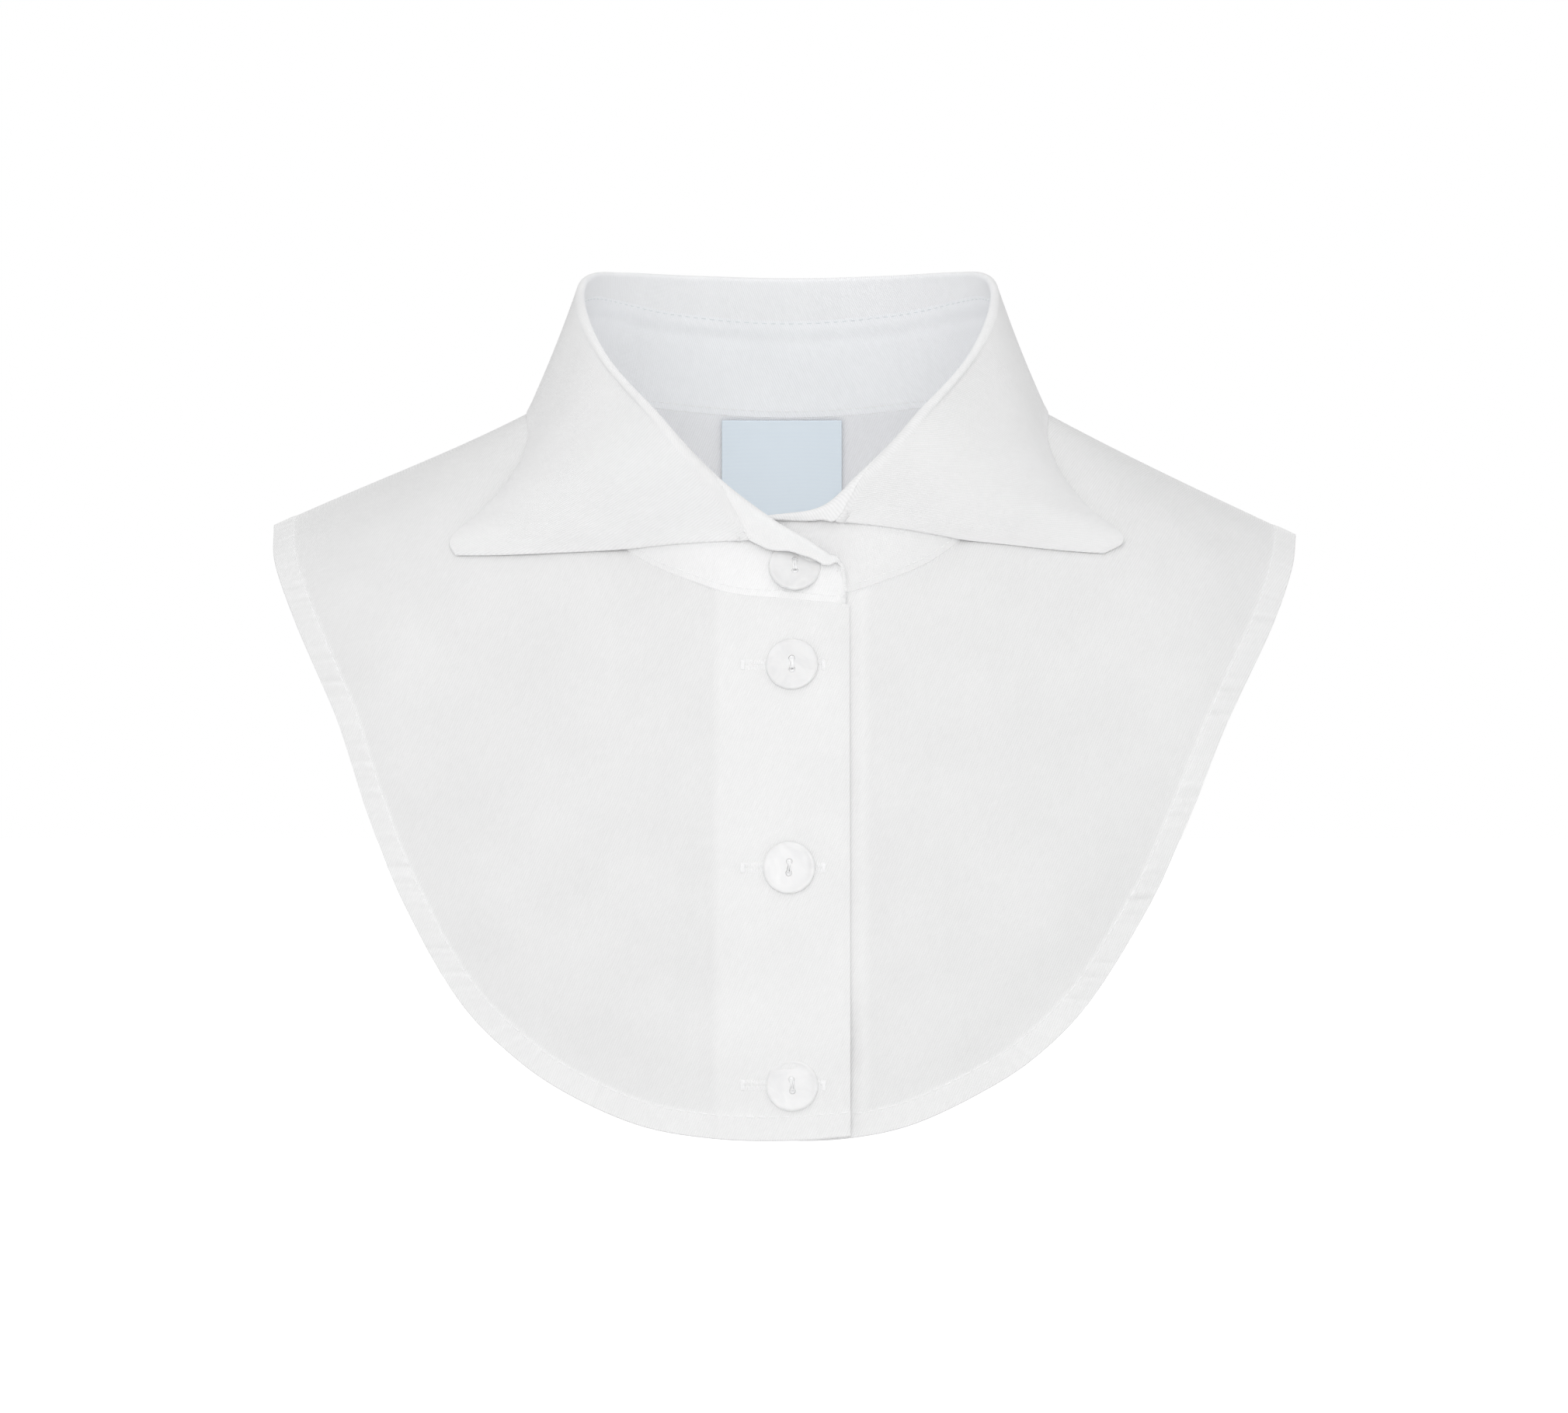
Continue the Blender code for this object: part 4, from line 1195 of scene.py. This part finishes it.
def build_collar(shown, back, cloth, thread, seam_thread):
    stand = both_sides(stand_column, STAND_END, STAND_END)
    angle = both_angles(STAND_END, STAND_END)
    stand = stand + grid_normals(stand) * stand_relief(stand, angle)[:, :, None]
    normals = grid_normals(stand)
    outer = stand + normals * STAND_CLOTH / 2
    # The stand's neck side is painted lighter and slightly blue, fading towards its front ends: painted light
    # that lifts the shade inside the neck.
    neck_side_painted_light = 1 - 0.75 * ease(np.abs(angle), 140, 165)
    # The stand's face away from the neck is painted lighter at the over side's front end: painted light on the
    # over flap.
    away = 0.03 + 0.4 * (1 - ease(angle, -165, -140))
    piece = shell(
        "collar_stand_cloth",
        outer,
        STAND_CLOTH,
        cloth,
        kind="collar",
        layers_and_painted_light=neck_side_painted_light,
        behind=away,
    )
    declare("collar_stand", FLAT_STAND)
    paths = []
    inner = stand - normals * STAND_CLOTH / 2
    for face, out in ((outer, normals), (inner, -normals)):
        line = row_at(face, 1.8)
        paths += stitches_along(line, row_at(out, 1.8, stand), radius=0.16, length=2.1, gap=0.5)
    line = row_line(inner, -normals, 1.1)
    paths += stitches_along(line[0], line[1], radius=0.13, length=2.0, gap=0.55)
    for face, out in ((outer, normals), (inner, -normals)):
        end_line = column_line(face, stand, END_STITCH)[3:-3]
        paths += stitches_along(end_line, column_line(out, stand, END_STITCH)[3:-3], radius=0.13, length=2.0)
    sewn = thread_piece("collar_stand_stitches", paths, 0.13, thread)
    far_back = np.abs(angle[:, 0]) < 120
    line, out = row_line(outer, normals, 0.7)
    paths = stitches_along(line[far_back], out[far_back], radius=0.13, length=1.5, gap=1.1)
    sewn = thread_piece("collar_seam_stitches", paths, 0.13, seam_thread)

    panels = tree_of([shown["over"], shown["under"], back])
    leaf = both_sides(leaf_column, LEAF_END["over"], LEAF_END["under"])
    leaf = leaf + grid_normals(leaf) * leaf_relief(leaf)[:, :, None]
    leaf = raised_over(leaf, panels, LEAF_CLOTH / 2 + LEAF_CLEAR)
    wall = tree_of([stand[::-1, :STAND_ROWS]])
    clear = (LEAF_CLOTH + STAND_CLOTH) / 2 + LEAF_CLEAR
    leaf[:, LEAF_FREE_ROW:] = raised_over(leaf[:, LEAF_FREE_ROW:], wall, clear)
    outer = leaf + grid_normals(leaf) * LEAF_CLOTH / 2
    # The leaf's rows inside the neck and over its roll, at the back and sides, are painted lighter like the
    # stand's neck side, fading out over the roll: painted light that lifts the shade inside the neck.
    roll_painted_light = 1 - ease(np.arange(leaf.shape[1])[None, :], LEAF_FREE_ROW - 15, LEAF_FREE_ROW - 3)
    within = 1 - ease(np.abs(both_angles(LEAF_END["over"], LEAF_END["under"])), 130, 155)
    piece = shell(
        "collar_leaf_cloth",
        outer,
        LEAF_CLOTH,
        cloth,
        kind="collar",
        layers_and_painted_light=0.8 * roll_painted_light * within,
        behind=0.0,
    )
    declare("collar_leaf", FLAT_LEAF)
    return stand


def column_line(grid, measured, inset):
    """The line on a grid at a distance in from its first column, measured on another grid."""
    steps = np.linalg.norm(np.diff(measured, axis=0), axis=2)
    run = np.concatenate([np.zeros((1, grid.shape[1])), np.cumsum(steps, axis=0)])
    line = []
    for row in range(grid.shape[1]):
        line.append([np.interp(inset, run[:, row], grid[:, row, axis]) for axis in range(3)])
    return np.array(line)


def row_at(grid, inset, measured=None):
    """The line on a grid at a distance from its first row, measured on this or another grid."""
    along = grid if measured is None else measured
    steps = np.linalg.norm(np.diff(along, axis=1), axis=2)
    run = np.concatenate([np.zeros((grid.shape[0], 1)), np.cumsum(steps, axis=1)], axis=1)
    line = []
    for column in range(grid.shape[0]):
        line.append([np.interp(inset, run[column], grid[column, :, axis]) for axis in range(3)])
    return np.array(line)


def leaf_relief(leaf):
    """Soft dents and swells of the leaf, by angle and share of the way down."""
    angle = both_angles(LEAF_END["over"], LEAF_END["under"])
    share = np.linspace(0, 1, leaf.shape[1])[None, :]
    rise = np.zeros(leaf.shape[:2])
    for place, down, width, length, depth in LEAF_CREASES:
        rise += depth * np.exp(-(((angle - place) / width) ** 2) - ((share - down) / length) ** 2)
    fade = ease(share, 0.22, 0.4) * (1 - 0.6 * ease(share, 0.9, 1.0))
    ends = 1 - ease(np.abs(angle), 156, 166)
    return rise * fade * ends


def button_mesh(name, turn_steps=72):
    """A button turned from its half section; cut_holes cuts its two holes."""
    radius = BUTTON_DIAMETER / 2
    shape = bmesh.new()
    line = [
        shape.verts.new((share * radius * MM, 0.0, rise * BUTTON_THICKNESS * MM))
        for share, rise in BUTTON_PROFILE
    ]
    edges = [shape.edges.new(pair) for pair in zip(line, line[1:])]
    bmesh.ops.spin(
        shape,
        geom=line + edges,
        cent=(0, 0, 0),
        axis=(0, 0, 1),
        angle=TAU,
        steps=turn_steps,
        use_merge=True,
    )
    bmesh.ops.remove_doubles(shape, verts=shape.verts, dist=0.000001)
    bmesh.ops.recalc_face_normals(shape, faces=shape.faces)
    mesh = bpy.data.meshes.new(name)
    shape.to_mesh(mesh)
    shape.free()
    return mesh


def cut_holes(piece):
    """Cuts the two thread holes, with the result applied to the mesh."""
    drills = []
    for side in (-0.5, 0.5):
        shape = bmesh.new()
        bmesh.ops.create_cone(
            shape,
            cap_ends=True,
            segments=28,
            radius1=BUTTON_HOLE / 2 * MM,
            radius2=BUTTON_HOLE / 2 * MM,
            depth=3 * BUTTON_THICKNESS * MM,
            matrix=Matrix.Translation((0, side * BUTTON_HOLE_SPACING * MM, 0)),
        )
        mesh = bpy.data.meshes.new("drill")
        shape.to_mesh(mesh)
        shape.free()
        drill = bpy.data.objects.new("drill", mesh)
        bpy.context.scene.collection.objects.link(drill)
        cut = piece.modifiers.new("Hole", "BOOLEAN")
        cut.operation = "DIFFERENCE"
        cut.solver = "EXACT"
        cut.object = drill
        drills.append(drill)
    bpy.context.view_layer.update()
    solid = piece.evaluated_get(bpy.context.evaluated_depsgraph_get())
    mesh = bpy.data.meshes.new_from_object(solid)
    piece.modifiers.clear()
    piece.data = mesh
    for drill in drills:
        bpy.data.objects.remove(drill)


def add_button(number, place, looks, turn, pearl, thread):
    """A button and the thread through its holes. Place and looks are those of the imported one."""
    name = f"button_{number}_pearl"
    piece = bpy.data.objects.new(name, button_mesh(name))
    bpy.context.scene.collection.objects.link(piece)
    cut_holes(piece)
    facing = Vector(looks).to_track_quat("Z", "Y").to_matrix().to_4x4()
    spin = Matrix.Rotation(math.radians(turn), 4, "Z")
    matrix = Matrix.Translation(Vector(place) * MM) @ facing @ spin
    piece.data.transform(matrix)
    piece.data.materials.clear()
    piece.data.materials.append(pearl)
    piece.data.shade_smooth()
    piece.data.set_sharp_from_angle(angle=math.radians(38))
    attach(piece, "root")
    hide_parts(f"button_{number}")
    half = BUTTON_HOLE_SPACING / 2
    level = BUTTON_THICKNESS * 0.85
    paths = []
    for hole in (-half, half):
        plug = [(0.0, hole, depth) for depth in (0.1, 0.4, level - 0.25, level - 0.04)]
        paths.append([np.array(matrix @ (Vector(point) * MM)) / MM for point in plug])
    radius = BUTTON_HOLE * 0.485
    plugs = thread_piece(f"button_{number}_shank", paths, radius, thread, sides=16, taper=0.9)
    paths = []
    for shift in (-0.42, -0.14, 0.14, 0.42):
        wave = 0.12 * math.sin(shift * 9 + number)
        path = [
            (shift * 0.8, -half - 0.1, level - 0.6),
            (shift * 0.9, -half, level - 0.05),
            (shift, -half + 0.45, level + 0.12),
            (shift + wave, 0.0, level + 0.16),
            (shift, half - 0.45, level + 0.12),
            (shift * 0.9, half, level - 0.05),
            (shift * 0.8, half + 0.1, level - 0.6),
        ]
        paths.append([np.array(matrix @ (Vector(point) * MM)) / MM for point in path])
    sewn = thread_piece(f"button_{number}_thread", paths, 0.16, thread, sides=8)


def buttonhole_paths(grid_tree, left, right, height, slope=0.0):
    """Close stitches across both edges of a buttonhole, and a bar across each end."""
    paths = []
    draw = random.Random(int(abs(height) * 10))
    steps = int((right - left) / 0.44)
    for step in range(steps + 1):
        x = left + (right - left) * step / steps
        for side in (-1, 1):
            reach = BUTTONHOLE_HALF + draw.uniform(-0.08, 0.1)
            points = []
            for share, lift in ((-0.05, -0.03), (0.25, 0.02), (0.6, 0.03), (0.88, -0.04), (1.0, -0.16)):
                z = height + slope * x + side * reach * share
                point, normal = face_hit(grid_tree, x + draw.uniform(-0.05, 0.05), z, 1.0)
                points.append(point + normal * lift)
            paths.append(points)
    for x in (left - 0.2, right + 0.2):
        for shift in np.linspace(-0.45, 0.45, 4):
            points = []
            for share, lift in ((-1.1, -0.1), (-0.8, 0.1), (0.0, 0.16), (0.8, 0.1), (1.1, -0.1)):
                z = height + slope * x + BUTTONHOLE_HALF * share
                point, normal = face_hit(grid_tree, x + shift * 0.8, z, 1.0)
                points.append(point + normal * lift)
            paths.append(points)
    return paths


def build_label(back, satin, line_material, thread):
    """The label, hung inside the back below the stand, with a thin dark line at its right edge."""
    tree = tree_of([back])
    columns = []
    for across in np.linspace(LABEL_RIGHT, LABEL_LEFT, 41):
        column = []
        for height in np.linspace(LABEL_TOP, LABEL_TOP - LABEL_HEIGHT, 45):
            point, normal = face_hit(tree, across, height, -1.0)
            wave = 0.12 * math.sin(across / 3.1) * ease(LABEL_TOP - height, 4, 20)
            column.append(point - normal * (CLOTH + 0.75 + wave))
        columns.append(column)
    grid = np.array(columns)
    inner = grid[::-1]
    piece = shell("label_satin_cloth", inner, 0.3, satin, kind="collar")
    declare("label", FLAT_LABEL)
    normals = grid_normals(inner)
    shares = [inner.shape[0] - 1 - place for place in (1.0, 0.6)]
    strip = np.array([[column_between(inner, share, row) for row in range(inner.shape[1])] for share in shares])
    lift = grid_normals(strip)
    lined = shell("label_edge_line", strip + lift * 0.05, 0.04, line_material, kind="collar")
    paths = []
    for share in (0.6, inner.shape[0] - 1.6):
        line = np.array([column_between(inner, share, row) for row in range(3, inner.shape[1])])
        out = np.array([column_between(normals, share, row) for row in range(3, inner.shape[1])])
        paths += stitches_along(line, out, radius=0.09, length=1.6, gap=0.5)
    return paths


def column_between(grid, share, row):
    low = int(math.floor(share))
    high = min(low + 1, grid.shape[0] - 1)
    return grid[low, row] * (1 - share + low) + grid[high, row] * (share - low)


# ---- studio ----


def build_studio():
    material, nodes, links, shader = node_material("Studio white")
    shader.inputs["Base Color"].default_value = (0.95, 0.95, 0.95, 1.0)
    shader.inputs["Roughness"].default_value = 1.0
    shader.inputs["Emission Color"].default_value = (1.0, 1.0, 1.0, 1.0)
    ray_kind = nodes.new("ShaderNodeLightPath")
    glow = nodes.new("ShaderNodeMath")
    glow.operation = "MULTIPLY"
    glow.inputs[1].default_value = FLOOR_GLOW
    links.new(ray_kind.outputs["Is Camera Ray"], glow.inputs[0])
    links.new(glow.outputs[0], shader.inputs["Emission Strength"])
    mesh = bpy.data.meshes.new("floor")
    reach = 14.0
    corners = [(-reach, -reach), (reach, -reach), (reach, reach), (-reach, reach)]
    mesh.from_pydata([(x, y, -0.34) for x, y in corners], [], [(0, 1, 2, 3)])
    floor = bpy.data.objects.new("floor", mesh)
    mesh.materials.append(material)
    bpy.context.scene.collection.objects.link(floor)

    world = bpy.data.worlds.new("Studio")
    bpy.context.scene.world = world
    world.use_nodes = True
    nodes, links = world.node_tree.nodes, world.node_tree.links
    lights = nodes["Background"]
    lights.inputs["Color"].default_value = (1.0, 1.0, 1.0, 1.0)
    direction = nodes.new("ShaderNodeTexCoord")
    parts = nodes.new("ShaderNodeSeparateXYZ")
    links.new(direction.outputs["Generated"], parts.inputs[0])
    higher = nodes.new("ShaderNodeMath")
    higher.operation = "MULTIPLY_ADD"
    higher.inputs[1].default_value = SKY_RISE
    higher.inputs[2].default_value = SKY_LIGHT
    links.new(parts.outputs["Z"], higher.inputs[0])
    links.new(higher.outputs[0], lights.inputs["Strength"])
    white = nodes.new("ShaderNodeBackground")
    white.inputs["Color"].default_value = (1.0, 1.0, 1.0, 1.0)
    white.inputs["Strength"].default_value = 1.0
    ray_kind = nodes.new("ShaderNodeLightPath")
    either = nodes.new("ShaderNodeMixShader")
    links.new(ray_kind.outputs["Is Camera Ray"], either.inputs["Fac"])
    links.new(lights.outputs[0], either.inputs[1])
    links.new(white.outputs[0], either.inputs[2])
    links.new(either.outputs[0], nodes["World Output"].inputs["Surface"])

    for name, place, size, power in LIGHTS:
        add_light(name, place, size, power)


def add_light(name, place, size, power):
    data = bpy.data.lights.new(name, "AREA")
    data.size = size
    data.energy = power
    light = bpy.data.objects.new(name, data)
    bpy.context.scene.collection.objects.link(light)
    light.location = place
    light.rotation_euler = (Vector((0, 0, -0.08)) - Vector(place)).to_track_quat("-Z", "Y").to_euler()


def build_camera():
    data = bpy.data.cameras.new("camera")
    data.sensor_width = 36.0
    data.lens = 36.0 * 2400.0 / (0.22 * 2019)
    data.clip_end = 60.0
    camera = bpy.data.objects.new("camera", data)
    bpy.context.scene.collection.objects.link(camera)
    camera.location = (-0.001, -2.4, -0.082)
    camera.rotation_euler = (math.radians(90), 0.0, 0.0)
    bpy.context.scene.camera = camera


def main():
    view = bpy.context.scene.view_settings
    view.view_transform = "Standard"
    view.look = "None"

    # Tones run from single to doubled cloth; the top tones of the back and collar twill, lighter and slightly
    # blue, are painted light on the faces inside the neck.
    panel = twill("Panel twill", ((0.805, 0.805, 0.805), (0.845, 0.845, 0.845), (0.875, 0.875, 0.876)))
    lined = twill("Back twill", ((0.805, 0.805, 0.805), (0.875, 0.875, 0.876), (0.90, 0.905, 0.925)))
    collar = twill("Collar twill", ((0.84, 0.84, 0.842), (0.91, 0.91, 0.913), (0.935, 0.945, 0.965)))
    seam_thread = thread_material("Seam thread", (0.82, 0.86, 0.88))
    thread = thread_material("Sewing thread", (0.96, 0.96, 0.965))
    pearl = pearl_material()
    satin = satin_material()
    dark = thread_material("Label line", (0.03, 0.03, 0.035))

    shown = build_fronts(panel, thread)
    back = build_back(lined, thread)
    build_collar(shown, back, collar, thread, seam_thread)

    over_tree = tree_of([shown["over"]])
    looks = (
        0.0,
        -math.cos(math.radians(STAND_BUTTON_TILT)),
        math.sin(math.radians(STAND_BUTTON_TILT)),
    )
    add_button(1, STAND_BUTTON, looks, 0.0, pearl, thread)
    base = tree_of([outward(front_grid("over"), "over")])
    paths = []
    for number, (across, height, turn) in enumerate(FRONT_BUTTONS, start=2):
        point, normal = face_hit(base, across, height, 1.0)
        add_button(number, point + normal * BUTTON_OFF_CLOTH, normal, turn, pearl, thread)
        paths += buttonhole_paths(over_tree, BUTTONHOLE_LEFT, BUTTONHOLE_RIGHT, height)
    holes = thread_piece("buttonhole_stitches", paths, 0.16, thread, sides=6)

    label_paths = build_label(back, satin, dark, thread)
    sewn = thread_piece("label_stitches", label_paths, 0.09, thread)

    build_studio()
    build_camera()


main()
